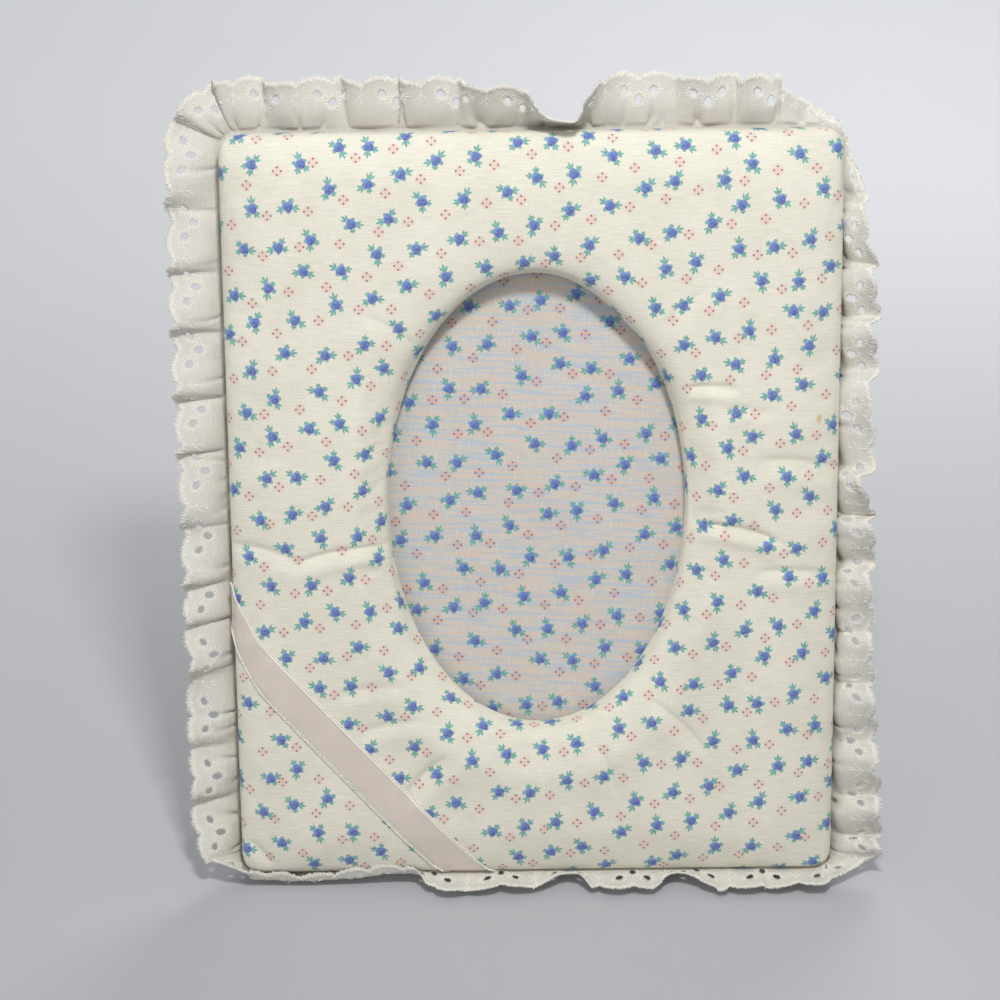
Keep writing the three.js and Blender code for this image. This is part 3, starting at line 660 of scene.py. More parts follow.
def apply_modifiers(thing):
    """Replaces the object's mesh by its evaluated one, and takes its modifiers off"""
    graph = bpy.context.evaluated_depsgraph_get()
    real = thing.evaluated_get(graph)
    mesh = bpy.data.meshes.new_from_object(real, preserve_all_data_layers=True, depsgraph=graph)
    thing.modifiers.clear()
    old = thing.data
    thing.data = mesh
    mesh.name = thing.name
    bpy.data.meshes.remove(old)
    return thing


def modified(thing, kind, **settings):
    """The object with one modifier made and applied"""
    modifier = thing.modifiers.new(kind, kind)
    for name, value in settings.items():
        setattr(modifier, name, value)
    return apply_modifiers(thing)


def ring_faces(rows, count, closed_rows=True):
    """Four-sided faces of rows that run round a ring; the last row also joins the first if it is closed"""
    i = np.arange(rows if closed_rows else rows - 1)[:, None]
    j = np.arange(count)[None]
    here, ahead = i * count, ((i + 1) % rows) * count
    beside = (j + 1) % count
    return np.stack([here + j, ahead + j, ahead + beside, here + beside], axis=-1).reshape(-1, 4).tolist()


class Outline:
    """The edge of a board, from runs of points: start, end, way it faces, degrees of turn, and count"""

    def __init__(self, runs, radius):
        cores, angles = [], []
        for start, end, angle, turn, count in runs:
            shares = np.arange(count) / count
            cores.append(np.array(start) + shares[:, None] * (np.array(end) - start))
            angles.append(angle + shares * turn)
        self.core = np.concatenate([*cores, [end]])
        facing = np.radians(np.concatenate([*angles, [angle + turn]]))
        self.out = paired(np.cos(facing), np.sin(facing))
        self.radius = radius

    def line(self, grow):
        """Points of the outline grown by some width"""
        return self.core + self.out * (self.radius + grow)

    def at(self, share, grow):
        """Core points and outward directions at shares of the length of the outline grown by some width"""
        lengths = running_length(self.line(grow))
        along = np.mod(share, 1.0) * lengths[-1]
        return between(along, lengths, self.core), unit(between(along, lengths, self.out))

    def even(self, count):
        """The same at even shares of the outline's own length"""
        return self.at(np.arange(count) / count, 0.0)

    def share_of(self, place, grow):
        """Share of the outline's length at its point that is nearest to a place"""
        nearest = np.argmin(np.linalg.norm(self.line(0) - np.array(place), axis=1))
        lengths = running_length(self.line(grow))
        return lengths[nearest] / lengths[-1]


def board_outline(half_width, low, high, radius):
    """Outline of an upright board with round corners, from the middle of its lower edge to the right"""
    step, turn_step = 0.5, 1.5
    right, low, high = half_width - radius, low + radius, high - radius
    stops = [(0, low), (right, low), (right, high), (-right, high), (-right, low), (0, low)]
    runs = []
    for k, (start, end) in enumerate(zip(stops, stops[1:])):
        angle = 90 * (k - 1)
        runs.append((start, end, angle, 0, max(2, int(math.dist(start, end) / step))))
        runs.append((end, end, angle, 90, int(90 / turn_step)))
    return Outline(runs[:-1], radius)


def four_sided_outline(corners, radius):
    """Outline of any board with four round corners, given from the lower left and on to the right"""
    sides = np.roll(corners, -1, axis=0) - corners
    facing = np.degrees(np.unwrap(np.arctan2(sides[:, 1], sides[:, 0]))) - 90
    before, after = np.append(facing[-1] - 360, facing[:-1]), np.append(facing[1:], facing[0] + 360)
    middle = np.radians((facing + before) / 2)
    reach = radius / np.cos(np.radians((facing - before) / 2))
    inner = corners - reach[:, None] * paired(np.cos(middle), np.sin(middle))
    runs = []
    for start, end, angle, later in zip(inner, np.roll(inner, -1, axis=0), facing, after):
        runs += [(start, end, angle, 0, 120), (end, end, angle, later - angle, 12)]
    return Outline(runs, radius)


BOARD = board_outline(BOARD_WIDTH / 2, 0.0, BOARD_HEIGHT, BOARD_RADIUS)


def rolled(distance, width):
    """Share of the padding's height at a distance from where it is held"""
    rest = 1 - np.clip(distance / width, 0, 1)
    return (1 - rest**PAD_FULLNESS) ** (1 / PAD_FULLNESS)


def ellipse_reach(angle):
    """Distance of the oval's plain ellipse from its centre, in a direction"""
    return 1 / np.hypot(np.cos(angle) / OVAL_RADII[0], np.sin(angle) / OVAL_RADII[1])


def oval_reach(angle):
    """Distance of the finished oval from its centre, in a direction"""
    reach = ellipse_reach(angle)
    for degrees, more, spread in OVAL_BUMPS:
        off = np.degrees(np.angle(np.exp(1j * (angle - math.radians(degrees)))))
        reach = reach + more * np.exp(-((off / spread) ** 2))
    return reach


def away_from_oval(flat):
    """Distance outwards from the finished oval"""
    x, z = (flat - np.array(OVAL_CENTRE)).T
    return np.hypot(x, z) - oval_reach(np.arctan2(z, x))


def crown(flat):
    """Height of the padding over the board's front"""
    full = (
        rolled(BOARD_WIDTH / 2 - np.abs(flat[:, 0]), EDGE_ROLL)
        * rolled(np.minimum(flat[:, 1], BOARD_HEIGHT - flat[:, 1]), EDGE_ROLL)
        * rolled(away_from_oval(flat) - COVER_OFF, OVAL_ROLL)
    )
    return PAD_EDGE + (PAD_FULL - PAD_EDGE) * full


def crease_depth(x, z):
    """How deep the creases draw the padded front in at a place"""
    total = np.zeros_like(x)
    for (x0, z0), (x1, z1), depth, half in CREASES:
        run = np.hypot(x1 - x0, z1 - z0)
        along = ((x - x0) * (x1 - x0) + (z - z0) * (z1 - z0)) / run**2
        bow = 0.06 * run * np.sin(np.pi * np.clip(along, 0, 1))
        off = ((z - z0) * (x1 - x0) - (x - x0) * (z1 - z0)) / run - bow
        ends = smoothstep(along, -0.15, 0.2) * (1 - smoothstep(along, 0.75, 1.15))
        # One flank is steep and narrow, the other one rises to a soft ridge
        reach = np.where(off > 0, 0.45 * half, 1.1 * half)
        valley = np.exp(-np.sqrt(0.02 + (off / reach) ** 2))
        shoulder = np.exp(-(((off + 2.6 * half) / (1.5 * half)) ** 2))
        total += depth * ends * (valley - 0.5 * shoulder)
    return total


def cover_section(count, rows):
    """Rows of points round the padded ring: behind the oval, up its wall, over the padding and down"""
    core, out = BOARD.even(count)
    outer = core + out * BOARD.radius
    centre = np.array(OVAL_CENTRE)
    angle = np.arctan2(*(outer - centre).T[::-1])
    towards = paired(np.cos(angle), np.sin(angle))
    inner = centre + towards * oval_reach(angle)[:, None]
    # Inside the board's own oval, which has flats, the cloth stands a little further in
    inner_wall = centre + towards * (np.minimum(oval_reach(angle), ellipse_reach(angle)) - 0.45)[:, None]
    section = [
        (inner_wall + towards * OVAL_TURNING, COVER_BACK),
        (inner_wall + towards * 0.6, COVER_BACK),
        (inner_wall + towards * 0.1, COVER_BACK - 0.3),
        (inner_wall, COVER_BACK - 1.0),
        (inner_wall, -0.2),
        ((inner_wall + inner) / 2, -1.3),
    ]
    start = inner + towards * 0.25
    end = outer + out * (COVER_OFF - 0.25)
    spread = np.linspace(0, 1, rows)
    for share in 0.45 * spread + 0.55 * (0.5 - 0.5 * np.cos(np.pi * spread)):
        flat = start + (end - start) * share
        section.append((flat, -crown(flat) - COVER_OFF))
    outer_wall = outer + out * COVER_OFF
    section += [
        (outer_wall, -1.2),
        (outer_wall, 0.3),
        (outer_wall, COVER_BACK - 1.0),
        (outer_wall - out * 0.15, COVER_BACK - 0.2),
        (outer_wall - out * 0.8, COVER_BACK),
        (core + out * max(BOARD.radius - FRONT_TURNING, -4.0), COVER_BACK),
    ]
    return np.array([raised(flat, depth) for flat, depth in section])


def cloth_places(section):
    """UVs that lie true on the cloth: as seen from the front in the middle, and by length over its edges"""
    middle = section.shape[0] // 2
    direction = unit((section[-8] - section[8])[:, [0, 2]])
    distance = running_length(section)
    distance -= distance[middle]
    return section[middle][:, [0, 2]] + direction * distance[..., None]


# Blender cloth that swells the padded front
SWELL_FRAMES = 20
SWELL = {
    "quality": 5,
    "mass": 0.2,
    "tension_stiffness": 12,
    "compression_stiffness": 12,
    "shear_stiffness": 4,
    "bending_stiffness": 0.4,
    "use_pressure": True,
    "uniform_pressure_force": 4,
    "shrink_min": -0.01,
}


def swell(pad, held, most):
    """Blows the pad up as cloth between its held edges, no further than most, and keeps the result"""
    scene = bpy.context.scene
    start = points_of(pad.data)
    group = pad.vertex_groups.new(name="held")
    group.add(np.flatnonzero(held).tolist(), 1.0, "REPLACE")
    cloth = pad.modifiers.new("Swell", "CLOTH")
    for name, value in SWELL.items():
        setattr(cloth.settings, name, value)
    cloth.settings.vertex_group_mass = group.name
    cloth.settings.effector_weights.gravity = 0
    cloth.collision_settings.use_collision = False
    cloth.point_cache.frame_start = 1
    cloth.point_cache.frame_end = SWELL_FRAMES
    for step in range(SWELL_FRAMES):
        scene.frame_set(step + 1)
    swollen = points_of(pad.evaluated_get(bpy.context.evaluated_depsgraph_get()).data)
    pad.modifiers.clear()
    scene.frame_set(1)
    move = swollen - start
    move *= np.minimum(1, most / np.maximum(np.linalg.norm(move, axis=1, keepdims=True), 1e-9))
    # The cloth lies smoother away from the oval and over its upper half
    flat = unplaced(start)[:, [0, 2]]
    above = flat[:, 1] - OVAL_CENTRE[1]
    smooth = np.maximum(smoothstep(away_from_oval(flat), 10.0, 32.0), smoothstep(above, 20.0, 55.0))
    set_points(pad, start + move * (1 - 0.65 * smooth[:, None]))
    pad.vertex_groups.clear()


class FRAME_OT_padded_front(Operator):
    """Printed cotton drawn over the wadding, round the board and the oval"""

    bl_idname = "photo_frame.padded_front"
    bl_label = "Padded front"

    def execute(self, context):
        count, rows = 540, 38
        section = cover_section(count, rows)
        uv = cloth_places(section).reshape(-1, 2) * MM
        material = printed_cotton("printed_cotton", colours().cotton, stain=True)
        points, faces = placed(section.reshape(-1, 3)), ring_faces(len(section), count)
        pad = mesh_object("padded_front", points, faces, material, uv)
        held = np.ones(section.shape[:2])
        held[7 : 5 + rows] = 0.0
        swell(pad, held.ravel(), sizes().puff)
        modified(pad, "SUBSURF", levels=1, render_levels=1)
        local = unplaced(points_of(pad.data))
        on_front = smoothstep(-local[:, 1], 2.2, 5.0)
        local[:, 1] += crease_depth(local[:, 0], local[:, 2]) * on_front
        set_points(pad, placed(local))
        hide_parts("front_cover", "front_padding")
        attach(pad, "frame")
        return {"FINISHED"}


def round_the_frame(column):
    """A column of the table of the trim's stand, as a smooth function of shares of the way round"""
    places = np.array([BOARD.share_of(row[:2], TRIM_SEAT) for row in TRIM_STAND])
    places[0] = 0.0
    fine = np.linspace(0, 1, 2001)
    line = np.interp(fine, places, [row[column] for row in TRIM_STAND], period=1.0)
    around = np.concatenate([line[-9:-1], line, line[1:9]])
    return fine, np.convolve(around, blur_window(8, 4.0), "valid")


def uneven(share, *waves):
    """A slow wander between -1 and 1 that closes on itself, from waves round the frame and their phases"""
    return sum(np.sin(2 * math.pi * (count * share + phase)) for count, phase in waves) / len(waves)


class Trim:
    """The gathered trim: where each place of its cloth is on the frame"""

    def __init__(self):
        self.rise, self.lean, self.opened = (round_the_frame(column) for column in (2, 3, 4))
        self.folds = round(TRIM_LENGTH / (sizes().fold_pitch / MM))
        # The folds take cloth, so places are shared out by length along the trim at its eyelets
        self.shares = np.linspace(0, 1, 6001)
        self.taken = running_length(self.line(self.shares, np.full_like(self.shares, 13.0)))

    def at(self, along, width):
        """Places from millimetres along the cloth and out from its line of stitching"""
        taken = np.mod(along / TRIM_LENGTH, 1.0) * self.taken[-1]
        return self.line(np.interp(taken, self.taken, self.shares), width)

    def line(self, share, width):
        """Places from shares of the way round and millimetres out from the line of stitching"""
        core, out = BOARD.at(share, TRIM_SEAT)
        held = np.minimum(width, 0)
        width = np.maximum(width, 0)
        opened = np.interp(share, *self.opened)
        slack = smoothstep(opened, 0.1, 0.8)
        phase, wave, sway = self.folded(share, width, out, slack)
        base = raised(core + out * (BOARD.radius + TRIM_ROOT + held)[:, None], TRIM_MIDDLE)
        base += raised(paired(-out[:, 1], out[:, 0])) * sway[:, None]
        rise, lean = (np.radians(np.interp(share, *table)) for table in (self.rise, self.lean))
        width = width * opened
        swing = slack * math.radians(9) * np.sin(phase + 2.4) * (1 - smoothstep(np.abs(lean), 0.6, 1.2))
        standing = self.standing(out, width, wave, rise, lean + swing)
        down = smoothstep(-out[:, 1], 0.25, 0.98)[:, None]
        return rest_on_floor(base + standing * (1 - down) + self.lying(width, wave, rise, lean) * down)

    def folded(self, share, width, out, slack):
        """Round lobes with narrow valleys, each lapped over the next one, and small tucks at the seam"""
        free = width / TRIM_WIDTH
        phase = 2 * math.pi * self.folds * share + 2.4 * uneven(share, (5, 0.1), (11, 0.37), (17, 0.71))
        height = slack * sizes().fold_height / MM * (1 + 0.6 * smoothstep(out[:, 0], 0.3, 0.9))
        height = height * (1 + 0.4 * uneven(share, (7, 0.4), (13, 0.15), (19, 0.8)))
        lap = slack * sizes().fold_lap / MM * (1 + 0.5 * uneven(share, (6, 0.9), (15, 0.3), (23, 0.55)))
        lobe = np.sqrt(np.sin(phase / 2) ** 2 + 0.015)
        tucks = share * 2 * self.folds + 0.7 * uneven(share, (31, 0.2), (43, 0.6), (57, 0.1))
        off = (np.mod(tucks, 1.0) - 0.5) * 9.9
        crease = np.exp(-((off / (0.45 + 0.16 * width)) ** 2)) - 0.3
        depth = 1.6 + 1.7 * uneven(share, (37, 0.1), (53, 0.75), (29, 0.3))
        pinch = -depth * crease * np.exp(-width / 7.0) * smoothstep(width, 0, 1.5)
        wave = height * (1.7 * lobe - 1.1 - 0.42 * np.sin(phase)) * free**0.8 + pinch
        return phase, wave, -lap * np.sin(phase) * np.sqrt(free) * (1 - 0.45 * free)

    def standing(self, facing, width, wave, rise, lean):
        """From the seam outwards: first up beside the cover, then spread out to the worked edge"""

        def tilt(place):
            return rise + (lean - rise) * smoothstep(place, 3.5, 11.0)

        steps = 14
        out = -wave * np.sin(tilt(width))
        ahead = wave * np.cos(tilt(width))
        for step in range(steps):
            angle = tilt(width * (step + 0.5) / steps)
            out += np.cos(angle) * width / steps
            ahead += np.sin(angle) * width / steps
        return np.column_stack([facing[:, 0] * out, -ahead, np.maximum(facing[:, 1], 0) * out])

    def lying(self, width, wave, rise, lean):
        """From the seam forward under the cover's lip and down, the worked edge curled by the lean"""
        carried = rise / math.radians(50)
        lip = 10.3
        beyond = np.clip(width - lip, 0, None)
        curl = lean * beyond / (beyond + 0.7)
        ahead = np.minimum(width, lip) + beyond * np.cos(curl)
        loose = (0.3 * wave + 0.9 * (1 - smoothstep(lean, 0.6, 1.2))) * smoothstep(width, 9, 16)
        settled = smoothstep(width, 10.5, 16.0) * (1 - smoothstep(lean, 0.9, 1.4))
        up = beyond * np.sin(curl) + loose + 1.8 * carried * smoothstep(width, 1.0, 8.0) * (1 - settled)
        # The floor is turned by the lean of the panel
        y, z = turned(-ahead, up, LEAN)
        return np.column_stack([np.zeros_like(up), y, z])


def rest_on_floor(points, clear=0.35):
    """Lifts what would lie under the floor, softly"""
    world = placed(points)
    height = world[:, 2] / MM - clear
    world[:, 2] = (clear + 0.5 * (height + np.sqrt(height**2 + 0.16))) * MM
    return unplaced(world)


def scallop_edge(across):
    """Width of the trim at a place of its repeat: round scallops that meet in cusps"""
    half = TRIM_REPEAT / 4
    off = np.mod(across, 2 * half) / half - 1
    return TRIM_WIDTH - SCALLOP_DEPTH * (1 - np.sqrt(np.maximum(0, 1 - 0.92 * off**2)))


# Eyelets in the repeat: middle, half sizes, and turn in degrees. The round one sits under a cusp.
EYELETS = ((0.0, 9.4, 1.4, 1.5, 0), (-5.6, 12.5, 1.65, 0.95, -24), (5.6, 12.5, 1.65, 0.95, 24))

# Sprig of thread under the other cusp: a stem and two side sprays, each from one place to another
SPRIG = ((0, 15.2, 0, 8.8), (0, 13.4, 2.8, 10.6), (0, 13.4, -2.8, 10.8), (0, 11.0, 1.4, 9.0))


def eyelet_rim(eyelet, count, grow=0.0):
    """Points round an eyelet; the long ones narrow to one end like a drop"""
    x, y, wide, tall, degrees = eyelet
    turn = np.arange(count) * 2 * math.pi / count
    drop = 1 + (0.28 * np.cos(turn) if wide > tall + 0.3 else 0)
    rim = turned((wide + grow) * np.cos(turn), (tall * drop + grow) * np.sin(turn), math.radians(degrees))
    return paired(*rim) + (x, y)


def trim_cell():
    """Flat mesh of one repeat of the trim, with its eyelets open"""
    half = TRIM_REPEAT / 2
    side_count = round((TRIM_WIDTH - SCALLOP_DEPTH + TRIM_HELD) / TRIM_GRID)
    side = np.linspace(-TRIM_HELD, scallop_edge(half), side_count + 1)[1:-1]
    across = np.linspace(-half, half, round(TRIM_REPEAT / TRIM_GRID) + 1)
    top = np.linspace(half, -half, 57)
    sides = ((across, -TRIM_HELD), (half, side), (top, scallop_edge(top)), (-half, side[::-1]))
    holes = [eyelet_rim(eyelet, 14) for eyelet in EYELETS]
    loops = [np.concatenate([paired(x, y) for x, y in sides]), *holes]
    inner = []
    for k, y in enumerate(np.arange(-TRIM_HELD + TRIM_GRID, TRIM_WIDTH, TRIM_GRID * 0.87)):
        start = -half + TRIM_GRID * (0.6 + 0.5 * (k % 2))
        inner.append(paired(np.arange(start, half - TRIM_GRID * 0.4, TRIM_GRID), y))
    inner = np.concatenate(inner)
    keep = inner[:, 1] < scallop_edge(inner[:, 0]) - 0.55
    for x, y, wide, tall, _ in EYELETS:
        keep &= np.hypot(inner[:, 0] - x, inner[:, 1] - y) > max(wide, tall) + 0.45
    edges, start = [], 0
    for loop in loops:
        count = len(loop)
        edges += [(start + k, start + (k + 1) % count) for k in range(count)]
        start += count
    points = np.concatenate([*loops, inner[keep]])
    vertices, _, faces, *_ = delaunay_2d_cdt([Vector(point) for point in points], edges, [], 0, 1e-6)
    vertices = np.array([tuple(vertex) for vertex in vertices])
    faces = np.array([tuple(face) for face in faces if len(face) == 3])
    middle = vertices[faces].mean(1)
    good = middle[:, 1] < scallop_edge(middle[:, 0])
    for hole in holes:
        good &= ~inside(middle, hole)
    mesh = bpy.data.meshes.new("trim_cell")
    mesh.from_pydata([(*vertex, 0) for vertex in vertices.tolist()], [], faces[good].tolist())
    return mesh


def inside(points, loop):
    """Which points lie inside a closed loop"""
    x, y = points.T
    found = np.zeros(len(points), bool)
    for (x0, y0), (x1, y1) in zip(loop, np.roll(loop, -1, axis=0)):
        crosses = (y0 > y) != (y1 > y)
        found ^= crosses & (x < (x1 - x0) * (y - y0) / (y1 - y0 + 1e-12) + x0)
    return found


class Nodes(Tree):
    """A Geometry Nodes tree in the making, with a material as its last input"""

    def __init__(self, name, inputs):
        self.tree = bpy.data.node_groups.new(name, "GeometryNodeTree")
        self.tree.is_modifier = True
        face = self.tree.interface
        for side in ("INPUT", "OUTPUT"):
            face.new_socket("Geometry", in_out=side, socket_type="NodeSocketGeometry")
        for label, default in inputs.items():
            kind = "NodeSocketInt" if isinstance(default, int) else "NodeSocketFloat"
            face.new_socket(label, in_out="INPUT", socket_type=kind).default_value = default
        face.new_socket("Material", in_out="INPUT", socket_type="NodeSocketMaterial")
        self.given = self.tree.nodes.new("NodeGroupInput").outputs

    def finish(self, geometry):
        """Ends the tree: real geometry, with the material that the tree is given"""
        real = self.made("GeometryNodeRealizeInstances", {"Geometry": geometry})
        smooth = self.made("GeometryNodeSetShadeSmooth", {"Geometry": real})
        values = {"Geometry": smooth, "Material": self.given["Material"]}
        dressed = self.made("GeometryNodeSetMaterial", values)
        self.node("NodeGroupOutput", {0: dressed})
        return self.tree


def run_nodes(name, mesh, tree, values):
    """Runs a tree on a mesh with its inputs set, and returns the result as a plain mesh object"""
    thing = linked(name, mesh)
    modifier = thing.modifiers.new(tree.name, "NODES")
    modifier.node_group = tree
    for item in tree.interface.items_tree:
        if item.in_out == "INPUT" and item.name in values:
            modifier[item.identifier] = values[item.name]
    return apply_modifiers(thing)


def repeat_tree():
    """Repeats a flat cell in a row and joins the copies to one cloth"""
    nodes = Nodes("Repeat Along Cloth", {"Repeats": 10, "Repeat Length": 1.0, "Merge Distance": 0.01})
    given = nodes.given
    step = nodes.made("ShaderNodeCombineXYZ", {"X": given["Repeat Length"]})
    line = nodes.made("GeometryNodeMeshLine", {"Count": given["Repeats"], "Offset": step})
    copies = nodes.made("GeometryNodeInstanceOnPoints", {"Points": line, "Instance": given["Geometry"]})
    real = nodes.made("GeometryNodeRealizeInstances", {"Geometry": copies})
    values = {"Geometry": real, "Distance": given["Merge Distance"]}
    return nodes.finish(nodes.made("GeometryNodeMergeByDistance", values))


def stitch_tree():
    """Lays one stitch on each point, turned and sized by the point's own attributes, with uneven ends"""
    nodes = Nodes("Stitches On Points", {"Sides": 6, "Rings": 4, "Unevenness": 0.12, "Seed": 0})
    given = nodes.given
    values = {"Segments": given["Sides"], "Rings": given["Rings"], "Radius": 0.5}
    stitch = nodes.made("GeometryNodeMeshUVSphere", values)
    along_x = nodes.made("GeometryNodeTransform", {"Geometry": stitch, "Rotation": (0, math.pi / 2, 0)})
    turn = nodes.made("GeometryNodeInputNamedAttribute", {"Name": "turn"}, data_type="QUATERNION")
    size = nodes.made("GeometryNodeInputNamedAttribute", {"Name": "size"}, data_type="FLOAT_VECTOR")
    share = {0: 1.0, 1: given["Unevenness"]}
    less = nodes.made("ShaderNodeMath", share, operation="SUBTRACT")
    more = nodes.made("ShaderNodeMath", share, operation="ADD")
    values = {2: less, 3: more, "Seed": given["Seed"]}
    dice = nodes.node("FunctionNodeRandomValue", values, data_type="FLOAT")
    scaled = nodes.made("ShaderNodeVectorMath", {0: size, "Scale": dice.outputs[1]}, operation="SCALE")
    values = {"Points": given["Geometry"], "Instance": along_x, "Rotation": turn, "Scale": scaled}
    return nodes.finish(nodes.made("GeometryNodeInstanceOnPoints", values))


def quaternions(ahead, up):
    """Turns that bring +X onto the directions ahead and +Z near the directions up"""
    x = unit(ahead)
    y = unit(np.cross(up, x))
    axes = np.stack([x, y, np.cross(x, y)], axis=2)
    return np.array([tuple(Matrix(rows).to_quaternion()) for rows in axes.tolist()])


def stitched(name, points, ahead, up, shape, material, seed, unevenness=0.12, sides=6, rings=4):
    """Stitches as one mesh, from places, directions and sizes in millimetres of the panel"""
    turn = np.array(PANEL.to_3x3()).T
    mesh = bpy.data.meshes.new(name)
    mesh.from_pydata(placed(points).tolist(), [], [])
    turns = mesh.attributes.new("turn", "QUATERNION", "POINT")
    turns.data.foreach_set("value", quaternions(ahead @ turn, up @ turn).ravel())
    shapes = mesh.attributes.new("size", "FLOAT_VECTOR", "POINT")
    shapes.data.foreach_set("vector", (np.broadcast_to(shape, points.shape) * MM).ravel())
    tree = bpy.data.node_groups.get("Stitches On Points") or stitch_tree()
    values = {"Sides": sides, "Rings": rings, "Unevenness": unevenness, "Seed": sizes().seed + seed}
    made = run_nodes(name, mesh, tree, {**values, "Material": material})
    attributes = made.data.attributes
    for attribute in ("turn", "size"):
        if attribute in attributes:
            attributes.remove(attributes[attribute])
    return made


class FRAME_OT_eyelet_ruffle(Operator):
    """Gathered eyelet trim round the frame, folded forward under its lower edge"""

    bl_idname = "photo_frame.eyelet_ruffle"
    bl_label = "Eyelet ruffle"

    def execute(self, context):
        material = plain_cotton("eyelet_cotton", colours().eyelet, 0.36, 0.16)
        join = TRIM_GRID / 20
        values = {"Repeats": TRIM_CELLS, "Repeat Length": TRIM_REPEAT, "Merge Distance": join}
        values["Material"] = material
        ruffle = run_nodes("eyelet_ruffle_cloth", trim_cell(), repeat_tree(), values)
        flat = points_of(ruffle.data)[:, :2] + (TRIM_REPEAT / 2, 0)
        lay_uv(ruffle.data, flat * MM)
        trim = Trim()
        set_points(ruffle, placed(trim.at(*flat.T)))
        modified(ruffle, "WELD", merge_threshold=join * MM)
        modified(ruffle, "SOLIDIFY", thickness=sizes().trim_thickness, offset=0.0, use_even_offset=False)
        ruffle.data.shade_smooth()
        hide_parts("eyelet_ruffle")
        pieces = ruffle_embroidery(trim)
        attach(ruffle, "frame")
        return {"FINISHED"}


def on_trim(trim, along, width, heading):
    """Places on the gathered trim, the direction of a heading in its cloth, and the way it faces"""
    here = trim.at(along, width)
    step = 0.25
    du = (trim.at(along + step, width) - here) / step
    dv = (trim.at(along, width + step) - here) / step
    ahead = du * np.cos(heading)[:, None] + dv * np.sin(heading)[:, None]
    return here, ahead, np.cross(dv, du)


def embroidery_layout(dice):
    """Stitches of one repeat round its eyelets and in its sprig: place, heading, length and width"""
    rows = []
    for eyelet in EYELETS:
        count = 15 if eyelet[2] < eyelet[3] + 0.3 else 14
        base = eyelet_rim(eyelet, count)
        for start, ray in zip(base, eyelet_rim(eyelet, count, 1.0) - base):
            size = 1.7 + 1.2 * dice.random()
            middle = start + unit(ray) * (size * 0.42)
            rows.append((*middle, math.atan2(ray[1], ray[0]), size, 0.5))
    for x0, y0, x1, y1 in SPRIG:
        dx, dy = x1 - x0, y1 - y0
        count = round(math.hypot(dx, dy) / 1.1)
        for k in range(count):
            share = (k + 0.5) / count
            heading = math.atan2(dy, dx) + 0.35 * (-1) ** k
            rows.append((TRIM_REPEAT / 2 + x0 + dx * share, y0 + dy * share, heading, 1.6, 0.42))
    return np.array(rows)


def ruffle_embroidery(trim):
    """Embroidery of the trim: stitches round the eyelets, the worked scalloped edge, and its fringe"""
    dice = np.random.default_rng(sizes().seed)
    thread = embroidery_thread("embroidery_thread", colours().thread)
    thickness = sizes().trim_thickness / MM

    def work(name, along, width, heading, shape, seed, **settings):
        shape = np.column_stack(np.broadcast_arrays(*shape))
        piece = stitched(name, *on_trim(trim, along, width, heading), shape, thread, seed, **settings)
        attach(piece, "frame")
        return piece

    starts = [((cell + 0.5) * TRIM_REPEAT, 0, 0, 0, 0) for cell in range(TRIM_CELLS)]
    cells = [embroidery_layout(dice) + start for start in starts]
    along, width, heading, long, wide = np.concatenate(cells).T
    heading = heading + dice.normal(0, 0.09, len(heading))
    eyelets = work("eyelet_stitches", along, width, heading, (long, wide, thickness + 0.34), 1)

    count = int(TRIM_LENGTH * 1.07 / (sizes().stitch_pitch / MM))
    along = np.arange(count) * TRIM_LENGTH / count
    across = along - TRIM_REPEAT / 2
    slope = (scallop_edge(across + 0.2) - scallop_edge(across)) / 0.2
    heading = np.arctan2(1, -np.clip(slope, -1.2, 1.2)) + dice.normal(0, 0.2, count)
    long = 1.9 + 0.9 * dice.random(count)
    width = scallop_edge(across) - long * 0.5 + 0.2 + 0.35 * dice.random(count)
    shape = (long, sizes().stitch_width / MM, thickness + 0.6)
    edging = work("scalloped_edge_stitches", along, width, heading, shape, 2, unevenness=0.25)

    count = int(TRIM_LENGTH / 0.42)
    along = np.sort(dice.random(count)) * TRIM_LENGTH
    heading = math.pi / 2 + dice.normal(0, 0.4, count)
    width = scallop_edge(along - TRIM_REPEAT / 2) + 0.3
    shape = (0.8 + 1.0 * dice.random(count), 0.17, 0.17)
    fringe = work("scalloped_edge_fringe", along, width, heading, shape, 3, sides=4, rings=3)
    return [eyelets, edging, fringe]


def front_finder():
    """Finds the front surface of the padded cover, in millimetres of the panel"""
    mesh = bpy.data.objects["padded_front"].data
    faces = [tuple(polygon.vertices) for polygon in mesh.polygons]
    return BVHTree.FromPolygons(unplaced(points_of(mesh)).tolist(), faces)


def edge_roll():
    """The ribbon's section over an edge: unrolled places, distances from the edge, and depths"""
    start = 160.0
    inwards = np.linspace(start, 0.2, 640)
    height = PAD_EDGE + (PAD_FULL - PAD_EDGE) * rolled(inwards, EDGE_ROLL) + COVER_OFF
    side = [(-RIBBON_OFF + 0.2, -2.4), (-RIBBON_OFF, -1.6), (-RIBBON_OFF, COVER_BACK - 0.8)]
    behind = [(-RIBBON_OFF + 0.9, COVER_BACK + 0.4), (8.0, COVER_BACK + 0.4)]
    section = np.concatenate([paired(inwards, -height), side, behind])
    return start - running_length(section)[::-1], *section[::-1].T


